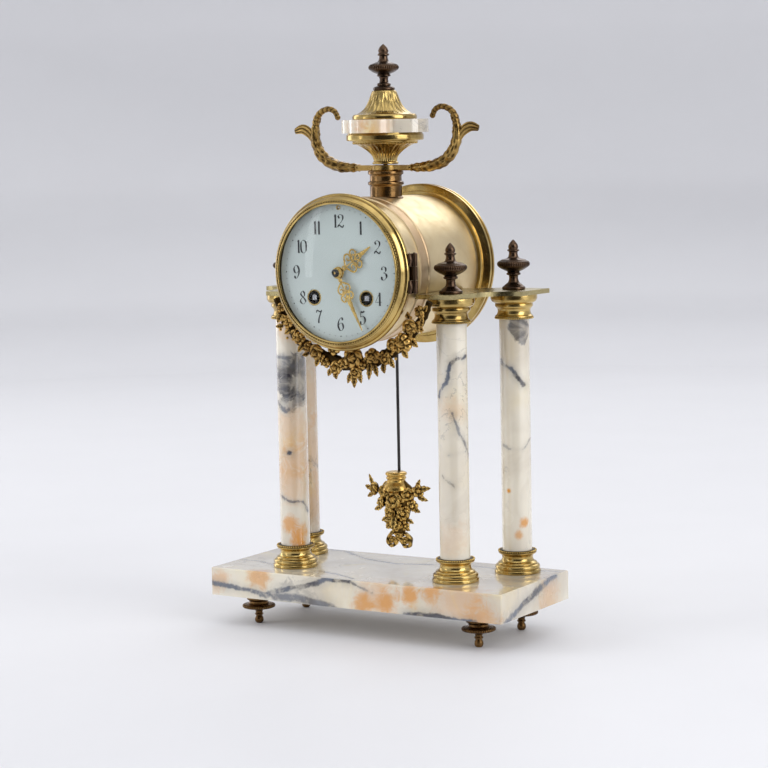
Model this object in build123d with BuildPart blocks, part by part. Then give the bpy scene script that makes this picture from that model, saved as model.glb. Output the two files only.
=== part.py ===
from build123d import *
from math import atan2, cos, degrees, hypot, pi, radians, sin, sqrt
import os

# French portico mantel clock. Millimetres, X to the right, Y to the back, Z up.
# The origin is on the ground, under the middle of the clock.

# ---- driving dimensions: stone and columns ----
SLAB_X = 220.0
SLAB_Y = 92.0
SLAB_BOTTOM = 20.0
SLAB_TOP = 38.5
FOOT_X = 84.0
FOOT_Y = 28.5
COLUMN_TOP = 219.5
COLUMN_R = 9.75
FRONT_COLUMN = (61.2, -16.8)
BACK_COLUMN = (82.2, 27.7)
CAPITAL_H = 16.0
ROD_R = 2.0
PLATE_T = 2.9
PLATE_TOP = COLUMN_TOP + PLATE_T

# ---- driving dimensions: drum, measured about its axis ----
AXIS_Z = 236.75
DRUM_R = 46.0
DRUM_INNER_R = 44.5
BAND_R = 46.8
DRUM_FRONT = -45.7
DRUM_BACK = 50.0
BEZEL_R = 50.0
BEZEL_BACK = -46.1
BEZEL_FRONT = -55.3
LIP_R = 43.4
GLASS_FRONT = -61.0
GLASS_T = 1.0
REAR_R = 53.0
HINGE_HALF = 12.5
KNUCKLE_HALF = 4.2
KNUCKLE_GAP = 0.3
KNUCKLE_R = 1.9
PIN_R = 0.8
RUNNING = 0.05
BEZEL_HINGE = (51.4, -44.6)
DOOR_HINGE = (-53.4, 58.6)
DOOR_R = 51.0

# ---- driving dimensions: dial, hands and movement ----
DIAL_R = 44.2
DIAL_FRONT = -50.6
DIAL_BACK = -49.4
WINDING_X = 19.5
WINDING_Z = -16.0
HOUR_ANGLE = 55.0
MINUTE_ANGLE = 153.7
HOUR_HAND_Y = (-52.3, -51.9)
MINUTE_HAND_Y = (-53.9, -53.5)
PLATE_R = 40.0
FRONT_PLATE = (-38.0, -35.5)
BACK_PLATE = (6.0, 8.5)
PIVOT_Z = 33.0
RATING_Z = 41.0
PENDULUM_Y = 17.0
ROD_TOP_Z = AXIS_Z + PIVOT_Z
BOB_TOP = 101.5
BELL_R = 29.0
HAMMER_AT = (-35.0, 5.0)

# ---- driving dimensions: urn ----
URN_Y = 7.35
BAR_Z = (300.0, 303.7)
DISC_Z = (324.0, 332.5)
LID_TOP = 351.0
TOTAL_H = 381.0

# ---- gear counts and modules ----
GREAT_TEETH = 80
GREAT_MODULE = 0.44
FIRST_LEAVES = 10
MIDDLE_TEETH = 72
MIDDLE_MODULE = 0.36
CENTRE_LEAVES = 12
CENTRE_TEETH = 84
CENTRE_MODULE = 0.30
THIRD_TEETH = 80
THIRD_MODULE = 0.27
SMALL_LEAVES = 8
ESCAPE_TEETH = 40
ESCAPE_R = 9.0
ESCAPE_Z = 20.0
CANNON_TEETH = 10
MINUTE_TEETH = 30
HOUR_TEETH = 32
MOTION_MODULE = 0.42
PIN_WHEEL_TEETH = 56
MINUTE_WHEEL_ANGLE = 60.0
PIN_WHEEL_ANGLE = 100.0

os.makedirs("parts", exist_ok=True)


def keep(piece, name):
    """Label a finished piece and write it."""
    piece.part.label = name
    export_step(piece.part, f"parts/{name}.step")


def facing(y, x=0.0, z=AXIS_Z):
    """A plane that faces the front at depth y, centred on the drum's axis."""
    return Plane(origin=(x, y, z), x_dir=(1, 0, 0), z_dir=(0, -1, 0))


def add_turned(profile, x, y):
    """Turn a profile of (radius, height) on an upright axis, in the part in work."""
    plane = Plane(origin=(x, y, 0), x_dir=(1, 0, 0), z_dir=(0, -1, 0))
    with BuildSketch(plane) as section:
        with BuildLine():
            Polyline(*profile, close=True)
        make_face()
    revolve(section.sketch, axis=Axis((x, y, 0), (0, 0, 1)))


def turned(profile, x, y):
    """A piece that is all turned on an upright axis."""
    with BuildPart() as piece:
        add_turned(profile, x, y)
    return piece


def add_turned_on_drum(profile):
    """Turn a profile of (radius, depth) on the drum's axis, in the part in work."""
    with BuildSketch(Plane.XY.offset(AXIS_Z)) as section:
        with BuildLine():
            Polyline(*profile, close=True)
        make_face()
    revolve(section.sketch, axis=Axis((0, 0, AXIS_Z), (0, 1, 0)))


def arc_points(centre, radius, start, end, count):
    """Points along an arc, for the round stretches of a profile."""
    step = (end - start) / (count - 1)
    angles = [radians(start + step * i) for i in range(count)]
    return [(centre[0] + radius * cos(a), centre[1] + radius * sin(a)) for a in angles]


def gear_points(teeth, module, phase, leaf=False):
    """Outline of a gear with straight-sided teeth, one of them centred at phase."""
    pitch_r = teeth * module / 2
    pitch = 360 / teeth
    tip_r = pitch_r + module * (0.75 if leaf else 0.9)
    root_r = pitch_r - module * 1.25
    root_half = pitch * (0.20 if leaf else 0.28)
    tip_half = pitch * (0.09 if leaf else 0.10)
    points = []
    for i in range(teeth):
        middle = phase + i * pitch
        for radius, angle in (
            (root_r, middle - root_half),
            (tip_r, middle - tip_half),
            (tip_r, middle + tip_half),
            (root_r, middle + root_half),
        ):
            points.append((radius * cos(radians(angle)), radius * sin(radians(angle))))
    return points


def add_gear(at, depth, points, bore=0.0, spokes=0, rim_r=0.0, hub_r=0.0):
    """Add a gear to the part in work: depth is (front, back), spokes cross it out."""
    with BuildSketch(facing(depth[1], at[0], AXIS_Z + at[1])) as blank:
        with BuildLine():
            Polyline(*points, close=True)
        make_face()
        if bore:
            Circle(bore, mode=Mode.SUBTRACT)
        if spokes:
            window_r = (rim_r - hub_r) / 2
            with PolarLocations((rim_r + hub_r) / 2, spokes, start_angle=45):
                Circle(window_r * 0.86, mode=Mode.SUBTRACT)
    extrude(blank.sketch, amount=depth[1] - depth[0])


def add_rod(at, depth, radius):
    """Add a round stretch of arbor along Y to the part in work."""
    with BuildSketch(facing(depth[1], at[0], AXIS_Z + at[1])) as disc:
        Circle(radius)
    extrude(disc.sketch, amount=depth[1] - depth[0])


def cut_hole(at, depth, radius):
    """Cut a round hole along Y in the part in work."""
    with BuildSketch(facing(depth[1], at[0], AXIS_Z + at[1])) as disc:
        Circle(radius)
    extrude(disc.sketch, amount=depth[1] - depth[0], mode=Mode.SUBTRACT)


def toward(start, end):
    """The direction from one arbor to another, in degrees."""
    return degrees(atan2(end[1] - start[1], end[0] - start[0]))


def meeting_point(first, first_r, second, second_r, side):
    """The point at two given distances from two arbors, on one side of their line."""
    gap = hypot(second[0] - first[0], second[1] - first[1])
    along = (first_r**2 - second_r**2 + gap**2) / (2 * gap)
    across = side * sqrt(first_r**2 - along**2)
    unit = ((second[0] - first[0]) / gap, (second[1] - first[1]) / gap)
    x = first[0] + along * unit[0] - across * unit[1]
    z = first[1] + along * unit[1] + across * unit[0]
    return (x, z)


# ---- places of the arbors, about the drum's axis ----
CENTRE = (0.0, 0.0)
GOING = (WINDING_X, WINDING_Z)
STRIKE = (-WINDING_X, WINDING_Z)
FIRST_GAP = (GREAT_TEETH + FIRST_LEAVES) * GREAT_MODULE / 2
MIDDLE_GAP = (MIDDLE_TEETH + CENTRE_LEAVES) * MIDDLE_MODULE / 2
CENTRE_GAP = (CENTRE_TEETH + SMALL_LEAVES) * CENTRE_MODULE / 2
THIRD_GAP = (THIRD_TEETH + SMALL_LEAVES) * THIRD_MODULE / 2
MOTION_GAP = (CANNON_TEETH + MINUTE_TEETH) * MOTION_MODULE / 2
MIDDLE = meeting_point(CENTRE, MIDDLE_GAP, GOING, FIRST_GAP, 1)
ESCAPE = (0.0, ESCAPE_Z)
THIRD = meeting_point(CENTRE, CENTRE_GAP, ESCAPE, THIRD_GAP, 1)
ANCHOR = (0.0, PIVOT_Z)
MINUTE_STUD = (
    MOTION_GAP * cos(radians(MINUTE_WHEEL_ANGLE)),
    MOTION_GAP * sin(radians(MINUTE_WHEEL_ANGLE)),
)
PIN_WHEEL = (
    STRIKE[0] + FIRST_GAP * cos(radians(PIN_WHEEL_ANGLE)),
    STRIKE[1] + FIRST_GAP * sin(radians(PIN_WHEEL_ANGLE)),
)
PILLARS = [(25.5, 25.5), (-25.5, 25.5), (0.0, -36.5), (36.3, 6.0)]
COLUMNS = {
    "front_left": (-FRONT_COLUMN[0], FRONT_COLUMN[1]),
    "front_right": FRONT_COLUMN,
    "back_left": (-BACK_COLUMN[0], BACK_COLUMN[1]),
    "back_right": BACK_COLUMN,
}
FEET = {
    "front_left": (-FOOT_X, -FOOT_Y),
    "front_right": (FOOT_X, -FOOT_Y),
    "back_left": (-FOOT_X, FOOT_Y),
    "back_right": (FOOT_X, FOOT_Y),
}


# ---- marble slab, with blind holes for the foot studs and the tie rods ----
STUD_R = 2.0
STUD_TOP = 27.0
ROD_BOTTOM = 28.5
HOLE_ROOM = 0.05
with BuildPart() as base_slab:
    with BuildSketch(Plane.XY.offset(SLAB_BOTTOM)):
        Rectangle(SLAB_X, SLAB_Y)
    extrude(amount=SLAB_TOP - SLAB_BOTTOM)
    fillet(base_slab.edges().filter_by(Axis.Z), 1.2)
    chamfer(base_slab.faces().sort_by(Axis.Z)[-1].edges(), 0.7)
    with BuildSketch(Plane.XY.offset(SLAB_BOTTOM)):
        with Locations(*FEET.values()):
            Circle(STUD_R + HOLE_ROOM)
    extrude(amount=STUD_TOP + 0.2 - SLAB_BOTTOM, mode=Mode.SUBTRACT)
    with BuildSketch(Plane.XY.offset(ROD_BOTTOM - 0.2)):
        with Locations(*COLUMNS.values()):
            Circle(ROD_R + HOLE_ROOM)
    extrude(amount=SLAB_TOP - ROD_BOTTOM + 1, mode=Mode.SUBTRACT)
keep(base_slab, "base_slab")


# ---- turned feet, each with its stud ----
def foot_profile():
    ball = arc_points((0.0, 2.9), 3.0, -70, 60, 7)
    return [
        (0, 0.08),
        *ball,
        (1.9, 5.9),
        (2.2, 7.2),
        (4.2, 8.6),
        (9.6, 10.4),
        (11.0, 11.2),
        (11.0, 12.6),
        (9.4, 13.3),
        (6.4, 14.2),
        (6.2, 15.6),
        (8.2, 16.4),
        (8.2, 18.2),
        (7.4, 19.95),
        (STUD_R, 19.95),
        (STUD_R, STUD_TOP),
        (0, STUD_TOP),
    ]


def build_foot(place, x, y):
    with BuildPart() as foot:
        add_turned(foot_profile(), x, y)
        with BuildSketch(Plane.XY):
            with Locations((x, y)):
                Circle(1.8)
        extrude(amount=1.0)
    keep(foot, f"foot_{place}")


for place, (x, y) in FEET.items():
    build_foot(place, x, y)


# ---- column bases, shafts and capitals ----
def base_profile():
    z = SLAB_TOP
    bore = ROD_R + HOLE_ROOM
    return [
        (bore, z + 0.02),
        (14.6, z + 0.02),
        (15.0, z + 0.5),
        (15.0, z + 2.2),
        (14.2, z + 2.7),
        (14.6, z + 3.4),
        (14.2, z + 5.6),
        (12.6, z + 6.0),
        (12.4, z + 7.0),
        (10.4, z + 8.0),
        (9.6, z + 9.6),
        (9.8, z + 11.2),
        (11.2, z + 12.6),
        (12.2, z + 13.2),
        (12.2, z + 14.6),
        (11.4, z + 15.6),
        (10.1, z + 15.6),
        (10.1, z + 13.4),
        (bore, z + 13.4),
    ]


def capital_profile():
    z = COLUMN_TOP - CAPITAL_H
    bore = ROD_R + HOLE_ROOM
    return [
        (10.1, z),
        (11.4, z),
        (12.2, z + 0.9),
        (12.2, z + 2.2),
        (11.0, z + 2.9),
        (10.3, z + 4.8),
        (10.2, z + 6.4),
        (11.2, z + 8.2),
        (12.0, z + 8.6),
        (12.0, z + 10.4),
        (13.4, z + 11.2),
        (14.6, z + 12.0),
        (15.0, z + 13.0),
        (15.0, z + CAPITAL_H - 0.02),
        (bore, z + CAPITAL_H - 0.02),
        (bore, z + 2.4),
        (10.1, z + 2.4),
    ]


def shaft_profile():
    bottom = SLAB_TOP + 13.45
    top = COLUMN_TOP - CAPITAL_H + 2.35
    return [
        (ROD_R + 0.5, bottom),
        (COLUMN_R, bottom),
        (COLUMN_R, top),
        (ROD_R + 0.5, top),
    ]


for place, (x, y) in COLUMNS.items():
    keep(turned(shaft_profile(), x, y), f"column_shaft_{place}")


def turned_set(profile):
    """The same turned piece on all four column axes, as four separate solids."""
    with BuildPart() as pieces:
        for x, y in COLUMNS.values():
            add_turned(profile, x, y)
    return pieces


keep(turned_set(base_profile()), "column_bases")
keep(turned_set(capital_profile()), "column_capitals")


# ---- tie rods through the columns and the finials that screw down on them ----
def finial_profile(bottom, bore_top):
    return [
        (ROD_R + HOLE_ROOM, bottom),
        (7.5, bottom),
        (7.5, bottom + 1.8),
        (6.0, bottom + 3.4),
        (3.4, bottom + 4.8),
        (2.9, bottom + 8.0),
        (4.4, bottom + 9.6),
        (4.4, bottom + 10.6),
        (3.6, bottom + 11.4),
        (7.0, bottom + 13.2),
        (10.4, bottom + 15.6),
        (10.6, bottom + 17.0),
        (9.2, bottom + 18.4),
        (7.4, bottom + 19.0),
        (7.2, bottom + 20.0),
        (3.2, bottom + 20.6),
        (2.6, bottom + 24.0),
        (3.6, bottom + 24.6),
        (3.6, bottom + 25.4),
        (2.7, bottom + 26.0),
        (3.3, bottom + 27.6),
        (2.4, bottom + 30.0),
        (0, bottom + 32.0),
        (0, bore_top),
        (ROD_R + HOLE_ROOM, bore_top),
    ]


FINIAL_BOTTOM = PLATE_TOP + 0.05
ROD_TOP = FINIAL_BOTTOM + 7.0
rod_profile = [(0, ROD_BOTTOM), (ROD_R, ROD_BOTTOM), (ROD_R, ROD_TOP), (0, ROD_TOP)]
keep(turned_set(rod_profile), "tie_rods")
keep(turned_set(finial_profile(FINIAL_BOTTOM, ROD_TOP + 0.3)), "column_finials")


# ---- side plates, each cut to seat the drum ----
def build_side_plate(side, name):
    with BuildPart() as side_plate:
        with BuildSketch(Plane.XY.offset(COLUMN_TOP)):
            with BuildLine():
                front = Polyline((side * 38, -32), (side * 69.5, -32), (side * 75.5, -8))
                ThreePointArc(front @ 1, (side * 82.0, 4.0), (side * 97.5, 9.5))
                back = Polyline((side * 97.5, 9.5), (side * 100.0, 43), (side * 68.5, 43))
                ThreePointArc(back @ 1, (side * 60.0, 33.5), (side * 46.0, 30.0))
                Polyline((side * 46.0, 30.0), (side * 38, 30.0), (side * 38, -32))
            make_face()
            with Locations((side * FRONT_COLUMN[0], FRONT_COLUMN[1])):
                Circle(ROD_R + HOLE_ROOM, mode=Mode.SUBTRACT)
            with Locations((side * BACK_COLUMN[0], BACK_COLUMN[1])):
                Circle(ROD_R + HOLE_ROOM, mode=Mode.SUBTRACT)
        extrude(amount=PLATE_T)
        cut_hole(CENTRE, (-60, 60), BAND_R + 0.05)
    keep(side_plate, name)


build_side_plate(1, "side_plate_right")
build_side_plate(-1, "side_plate_left")


# ---- hinges: knuckles on an upright axis, the middle one on the fixed side ----
def add_knuckle(at, low, high):
    with BuildSketch(Plane.XY.offset(AXIS_Z + low)) as disc:
        with Locations(at):
            Circle(KNUCKLE_R)
    extrude(disc.sketch, amount=high - low)


def add_block(x_range, y_range, low, high):
    with BuildSketch(Plane.XY.offset(AXIS_Z + low)) as block:
        with Locations(((x_range[0] + x_range[1]) / 2, (y_range[0] + y_range[1]) / 2)):
            Rectangle(x_range[1] - x_range[0], y_range[1] - y_range[0])
    extrude(block.sketch, amount=high - low)


def bore_hinge(at):
    with BuildSketch(Plane.XY.offset(AXIS_Z - HINGE_HALF - 1)) as disc:
        with Locations(at):
            Circle(PIN_R + RUNNING)
    extrude(disc.sketch, amount=2 * HINGE_HALF + 2, mode=Mode.SUBTRACT)


LOWER_KNUCKLE = (-HINGE_HALF, -KNUCKLE_HALF - KNUCKLE_GAP)
UPPER_KNUCKLE = (KNUCKLE_HALF + KNUCKLE_GAP, HINGE_HALF)
MOVING_KNUCKLES = (LOWER_KNUCKLE, UPPER_KNUCKLE)


# ---- drum: a tube with a stepped front ring and a raised band, open below ----
DRUM_PROFILE = [
    (DRUM_INNER_R, DRUM_FRONT),
    (47.6, DRUM_FRONT),
    (48.5, -45.0),
    (48.5, -43.4),
    (47.3, -42.8),
    (47.6, -41.4),
    (46.9, -40.0),
    (DRUM_R, -39.6),
    (DRUM_R, -28.6),
    (46.7, -28.0),
    (46.7, -26.6),
    (46.3, -26.0),
    (46.3, -18.6),
    (BAND_R, -18.0),
    (BAND_R, -16.6),
    (DRUM_R, -16.0),
    (DRUM_R, DRUM_BACK),
    (DRUM_INNER_R, DRUM_BACK),
]
SLOT_X = 18.0
SLOT_Y = 10.0
with BuildPart() as drum_case:
    add_turned_on_drum(DRUM_PROFILE)
    with BuildSketch(Plane.XY.offset(AXIS_Z - DRUM_R - 3)):
        with Locations((0, PENDULUM_Y)):
            Rectangle(SLOT_X, SLOT_Y)
    extrude(amount=8, mode=Mode.SUBTRACT)
    with BuildSketch(Plane.XY.offset(AXIS_Z + DRUM_INNER_R - 2)):
        with Locations((0, URN_Y)):
            Circle(1.6)
    extrude(amount=6, mode=Mode.SUBTRACT)
    add_knuckle(BEZEL_HINGE, -KNUCKLE_HALF, KNUCKLE_HALF)
    add_block((47.6, BEZEL_HINGE[0]), (-45.3, -43.0), -KNUCKLE_HALF, KNUCKLE_HALF)
    bore_hinge(BEZEL_HINGE)
keep(drum_case, "drum_case")


# ---- rear ring with two ribs, and its knuckle ----
REAR_PROFILE = [
    (43.0, 50.2),
    (DRUM_R + 0.1, 50.2),
    (DRUM_R + 0.1, 46.0),
    (48.0, 46.0),
    (48.6, 48.6),
    (51.6, 49.6),
    (REAR_R, 50.2),
    (REAR_R, 52.2),
    (51.0, 52.8),
    (51.0, 53.6),
    (REAR_R, 54.0),
    (REAR_R, 55.6),
    (52.2, 56.2),
    (43.0, 56.2),
]
with BuildPart() as rear_ring:
    add_turned_on_drum(REAR_PROFILE)
    add_knuckle(DOOR_HINGE, -KNUCKLE_HALF, KNUCKLE_HALF)
    add_block((DOOR_HINGE[0], -51.6), (55.4, DOOR_HINGE[1]), -KNUCKLE_HALF, KNUCKLE_HALF)
    bore_hinge(DOOR_HINGE)
keep(rear_ring, "rear_ring")


# ---- rear door and its knob ----
DOOR_FRONT = 56.7
DOOR_BACK = 58.2
KNOB_X = 43.0
with BuildPart() as rear_door:
    with BuildSketch(facing(DOOR_BACK)):
        Circle(DOOR_R)
        with Locations((KNOB_X, 0)):
            Circle(1.05, mode=Mode.SUBTRACT)
    extrude(amount=DOOR_BACK - DOOR_FRONT)
    fillet(rear_door.edges().filter_by(GeomType.CIRCLE).sort_by(SortBy.RADIUS)[-2:], 0.5)
    for low, high in MOVING_KNUCKLES:
        add_knuckle(DOOR_HINGE, low, high)
        add_block((DOOR_HINGE[0], -48.5), (57.0, DOOR_BACK), low, high)
    bore_hinge(DOOR_HINGE)
keep(rear_door, "rear_door")

with BuildPart() as rear_door_knob:
    add_rod((KNOB_X, 0), (DOOR_FRONT, DOOR_BACK + 0.02), 1.0)
    add_rod((KNOB_X, 0), (DOOR_BACK + 0.02, 59.6), 1.4)
    add_rod((KNOB_X, 0), (59.6, -GLASS_FRONT), 2.8)
    fillet(rear_door_knob.edges().filter_by(GeomType.CIRCLE).sort_by(Axis.Y)[-2:], 0.5)
keep(rear_door_knob, "rear_door_knob")


# ---- bezel: turned ring with a front lip, and its two knuckles ----
BEZEL_PROFILE = [
    (44.6, BEZEL_BACK),
    (48.8, BEZEL_BACK),
    (49.3, -47.0),
    (BEZEL_R, -47.8),
    (BEZEL_R, -49.6),
    (49.2, -51.0),
    (48.2, -51.6),
    (48.0, -52.6),
    (46.8, -53.9),
    (45.8, -54.2),
    (45.2, -55.1),
    (44.4, BEZEL_FRONT),
    (LIP_R, BEZEL_FRONT + 0.2),
    (LIP_R, -54.7),
    (44.6, -54.7),
]
with BuildPart() as bezel:
    add_turned_on_drum(BEZEL_PROFILE)
    for low, high in MOVING_KNUCKLES:
        add_knuckle(BEZEL_HINGE, low, high)
        add_block((48.0, BEZEL_HINGE[0]), (-49.2, -46.2), low, high)
        add_block((50.0, BEZEL_HINGE[0]), (-46.3, BEZEL_HINGE[1]), low, high)
    bore_hinge(BEZEL_HINGE)
keep(bezel, "bezel")

with BuildPart() as hinge_pins:
    for at in (BEZEL_HINGE, DOOR_HINGE):
        with BuildSketch(Plane.XY.offset(AXIS_Z - HINGE_HALF - 0.5)):
            with Locations(at):
                Circle(PIN_R)
        extrude(amount=2 * HINGE_HALF + 1)
keep(hinge_pins, "hinge_pins")


# ---- domed glass: a spherical cap with a flat rim behind the lip ----
GLASS_RIM = 44.4
DOME_R = 43.0
DOME_BACK = -54.6
SAG = DOME_BACK - GLASS_FRONT
SPHERE_R = (DOME_R**2 + SAG**2) / (2 * SAG)
MID_R = DOME_R / 2
MID_SAG = SPHERE_R - sqrt(SPHERE_R**2 - MID_R**2)
with BuildPart() as bezel_glass:
    with BuildSketch(Plane.XY.offset(AXIS_Z)):
        with BuildLine():
            ThreePointArc((0, GLASS_FRONT), (MID_R, GLASS_FRONT + MID_SAG), (DOME_R, DOME_BACK))
            Polyline(
                (DOME_R, DOME_BACK),
                (GLASS_RIM, DOME_BACK),
                (GLASS_RIM, DOME_BACK + GLASS_T),
                (DOME_R, DOME_BACK + GLASS_T),
            )
            ThreePointArc(
                (DOME_R, DOME_BACK + GLASS_T),
                (MID_R, GLASS_FRONT + MID_SAG + GLASS_T),
                (0, GLASS_FRONT + GLASS_T),
            )
            Line((0, GLASS_FRONT + GLASS_T), (0, GLASS_FRONT))
        make_face()
    revolve(axis=Axis((0, 0, AXIS_Z), (0, 1, 0)))
keep(bezel_glass, "bezel_glass")


# ---- garland: a plain crescent under the drum, from plate to plate ----
SWAG_Y = (-41.6, -35.0)
SWAG_OUTER = [(56.5, -18.0), (50.5, -36.0), (38.0, -48.5), (25.0, -58.5), (10.0, -66.0), (0.0, -74.0)]
SWAG_LEFT = [(-x, z) for x, z in reversed(SWAG_OUTER[:-1])]
with BuildPart() as garland:
    with BuildSketch(facing(SWAG_Y[1])):
        with BuildLine():
            outer = Polyline(*SWAG_OUTER, *SWAG_LEFT)
            Line(outer @ 1, (-46.0, -18.0))
            ThreePointArc((-46.0, -18.0), (0, -49.4), (46.0, -18.0))
            Line((46.0, -18.0), outer @ 0)
        make_face()
    extrude(amount=SWAG_Y[1] - SWAG_Y[0])
keep(garland, "garland")


# ---- urn: collar, handles, bowl, marble disc, lid, finial and centre rod ----
URN_ROD_R = 1.5
URN_BORE = URN_ROD_R + HOLE_ROOM
NUT_Z = (279.4, 281.1)
COLLAR_PROFILE = [
    (URN_BORE, 276),
    (10.4, 276),
    (10.4, 290.6),
    (11.6, 291.2),
    (11.6, 292.8),
    (10.4, 293.4),
    (10.4, 297.4),
    (11.5, 298.0),
    (11.5, BAR_Z[0] - 0.02),
    (URN_BORE, BAR_Z[0] - 0.02),
]
with BuildPart() as neck_collar:
    add_turned(COLLAR_PROFILE, 0, URN_Y)
    cut_hole(CENTRE, (-60, 60), DRUM_R + 0.05)
keep(neck_collar, "neck_collar")

STEM = [(20, 301.9), (37, 302.3), (46.5, 306.5), (52.4, 314.5), (54.2, 324.0), (53.2, 332.5)]
CURL = [(53.2, 332.5), (49.6, 338.8), (43.0, 340.6), (37.6, 338.0), (35.9, 334.2)]
LEAF = [(52.6, 315.0), (57.0, 324.0), (63.0, 328.6), (69.6, 327.2)]
HANDLE_W = 3.4
with BuildPart() as urn_handles:
    with BuildSketch(Plane.XZ.offset(-URN_Y)):
        with Locations((0, (BAR_Z[0] + BAR_Z[1]) / 2)):
            Rectangle(44, BAR_Z[1] - BAR_Z[0])
        for side in (1, -1):
            for route, width in ((STEM, 3.7), (CURL, 4.0), (LEAF, 3.2)):
                with BuildLine():
                    Spline(*[(side * x, z) for x, z in route])
                trace(line_width=width)
            with Locations((side * 53.2, 332.5)):
                Circle(2.0)
    extrude(amount=HANDLE_W, both=True)
    with BuildSketch(Plane.XY.offset(BAR_Z[0])):
        with Locations((0, URN_Y)):
            Circle(9.0)
    extrude(amount=BAR_Z[1] - BAR_Z[0])
    with BuildSketch(Plane.XY.offset(BAR_Z[0] - 1)):
        with Locations((0, URN_Y)):
            Circle(URN_BORE)
    extrude(amount=8, mode=Mode.SUBTRACT)
keep(urn_handles, "urn_handles")

urn_bowl = turned(
    [
        (URN_BORE, 303.72),
        (8.0, 303.72),
        (8.4, 304.6),
        (7.6, 305.4),
        (8.4, 309.0),
        (10.8, 313.0),
        (15.6, 316.2),
        (19.6, 317.2),
        (21.6, 318.6),
        (24.4, 320.0),
        (25.2, 320.8),
        (25.2, 322.8),
        (24.2, DISC_Z[0] - 0.02),
        (URN_BORE, DISC_Z[0] - 0.02),
    ],
    0,
    URN_Y,
)
keep(urn_bowl, "urn_bowl")

LOBE_R = 15.5
LOBE_AT = 15.0
with BuildPart() as urn_marble_disc:
    with BuildSketch(Plane.XY.offset(DISC_Z[0])):
        with Locations((0, URN_Y)):
            Circle(21.0)
            with PolarLocations(LOBE_AT, 4):
                Circle(LOBE_R)
            Circle(URN_BORE, mode=Mode.SUBTRACT)
    extrude(amount=DISC_Z[1] - DISC_Z[0])
keep(urn_marble_disc, "urn_marble_disc")

urn_lid = turned(
    [
        (URN_BORE, DISC_Z[1] + 0.02),
        (20.8, DISC_Z[1] + 0.02),
        (21.0, 334.8),
        (20.2, 336.4),
        (17.4, 336.6),
        (13.2, 339.4),
        (10.4, 343.4),
        (8.6, 348.0),
        (7.6, LID_TOP),
        (URN_BORE, LID_TOP),
    ],
    0,
    URN_Y,
)
keep(urn_lid, "urn_lid")

urn_finial = turned(
    [
        (URN_BORE, LID_TOP + 0.02),
        (6.6, LID_TOP + 0.02),
        (7.0, 352.0),
        (6.6, 353.4),
        (4.2, 354.4),
        (4.4, 355.6),
        (2.9, 356.6),
        (2.7, 359.0),
        (4.4, 360.6),
        (4.2, 361.6),
        (8.0, 363.4),
        (9.8, 365.2),
        (9.8, 367.0),
        (8.2, 368.4),
        (4.0, 369.2),
        (2.8, 371.2),
        (2.7, 373.4),
        (3.6, 374.0),
        (3.3, 375.2),
        (2.9, 376.0),
        (3.3, 377.4),
        (2.2, 379.4),
        (0, TOTAL_H),
        (0, 357.4),
        (URN_BORE, 357.4),
    ],
    0,
    URN_Y,
)
keep(urn_finial, "urn_finial")

urn_rod = turned(
    [
        (0, NUT_Z[0]),
        (3.2, NUT_Z[0]),
        (3.2, NUT_Z[1]),
        (URN_ROD_R, NUT_Z[1]),
        (URN_ROD_R, 357.0),
        (0, 357.0),
    ],
    0,
    URN_Y,
)
keep(urn_rod, "urn_rod")


# ---- dial with its feet, and the brass pan behind it ----
DIAL_FEET = [(-30.0, 12.0), (30.0, 12.0), (0.0, -30.0)]
with BuildPart() as dial:
    with BuildSketch(facing(DIAL_BACK)):
        Circle(DIAL_R)
        Circle(3.2, mode=Mode.SUBTRACT)
        with Locations(GOING, STRIKE):
            Circle(4.6, mode=Mode.SUBTRACT)
        with Locations((0, RATING_Z)):
            Circle(1.3, mode=Mode.SUBTRACT)
    extrude(amount=DIAL_BACK - DIAL_FRONT)
    for at in DIAL_FEET:
        add_rod(at, (DIAL_BACK, FRONT_PLATE[0] - 0.02), 1.5)
keep(dial, "dial")

with BuildPart() as dial_pan:
    add_turned_on_drum([(42.8, -49.35), (DIAL_R, -49.35), (DIAL_R, -43.5), (42.8, -43.5)])
keep(dial_pan, "dial_pan")


# ---- hands: a boss, a pierced scroll and a tapering blade ----
def build_hand(angle, depth, length, boss_r, bore, rings, name):
    """A pierced hand: rings is (distance, outer radius, inner radius) along it."""
    with BuildPart() as hand:
        with BuildSketch(facing(depth[1])):
            Circle(boss_r)
            with BuildLine():
                Polyline((-0.9, 0), (-0.35, length), (0.35, length), (0.9, 0), close=True)
            make_face()
            for distance, outer, _ in rings:
                with Locations((0, distance)):
                    Circle(outer)
            for distance, _, inner in rings:
                with Locations((0, distance)):
                    Circle(inner, mode=Mode.SUBTRACT)
            Circle(bore, mode=Mode.SUBTRACT)
        extrude(amount=depth[1] - depth[0])
    turned_hand = hand.part.rotate(Axis((0, 0, AXIS_Z), (0, 1, 0)), angle)
    turned_hand.label = name
    export_step(turned_hand, f"parts/{name}.step")


PIPE_R = 2.6
ARBOR_R = 1.5
build_hand(
    HOUR_ANGLE, HOUR_HAND_Y, 29.0, 3.7, PIPE_R + 0.02,
    [(8.0, 3.6, 2.4), (13.5, 3.4, 2.2), (18.0, 2.0, 1.0)], "hour_hand",
)
build_hand(
    MINUTE_ANGLE, MINUTE_HAND_Y, 40.0, 3.4, ARBOR_R + 0.02,
    [(9.5, 3.8, 2.6), (16.0, 3.0, 1.9), (21.5, 2.0, 1.0)], "minute_hand",
)


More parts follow.
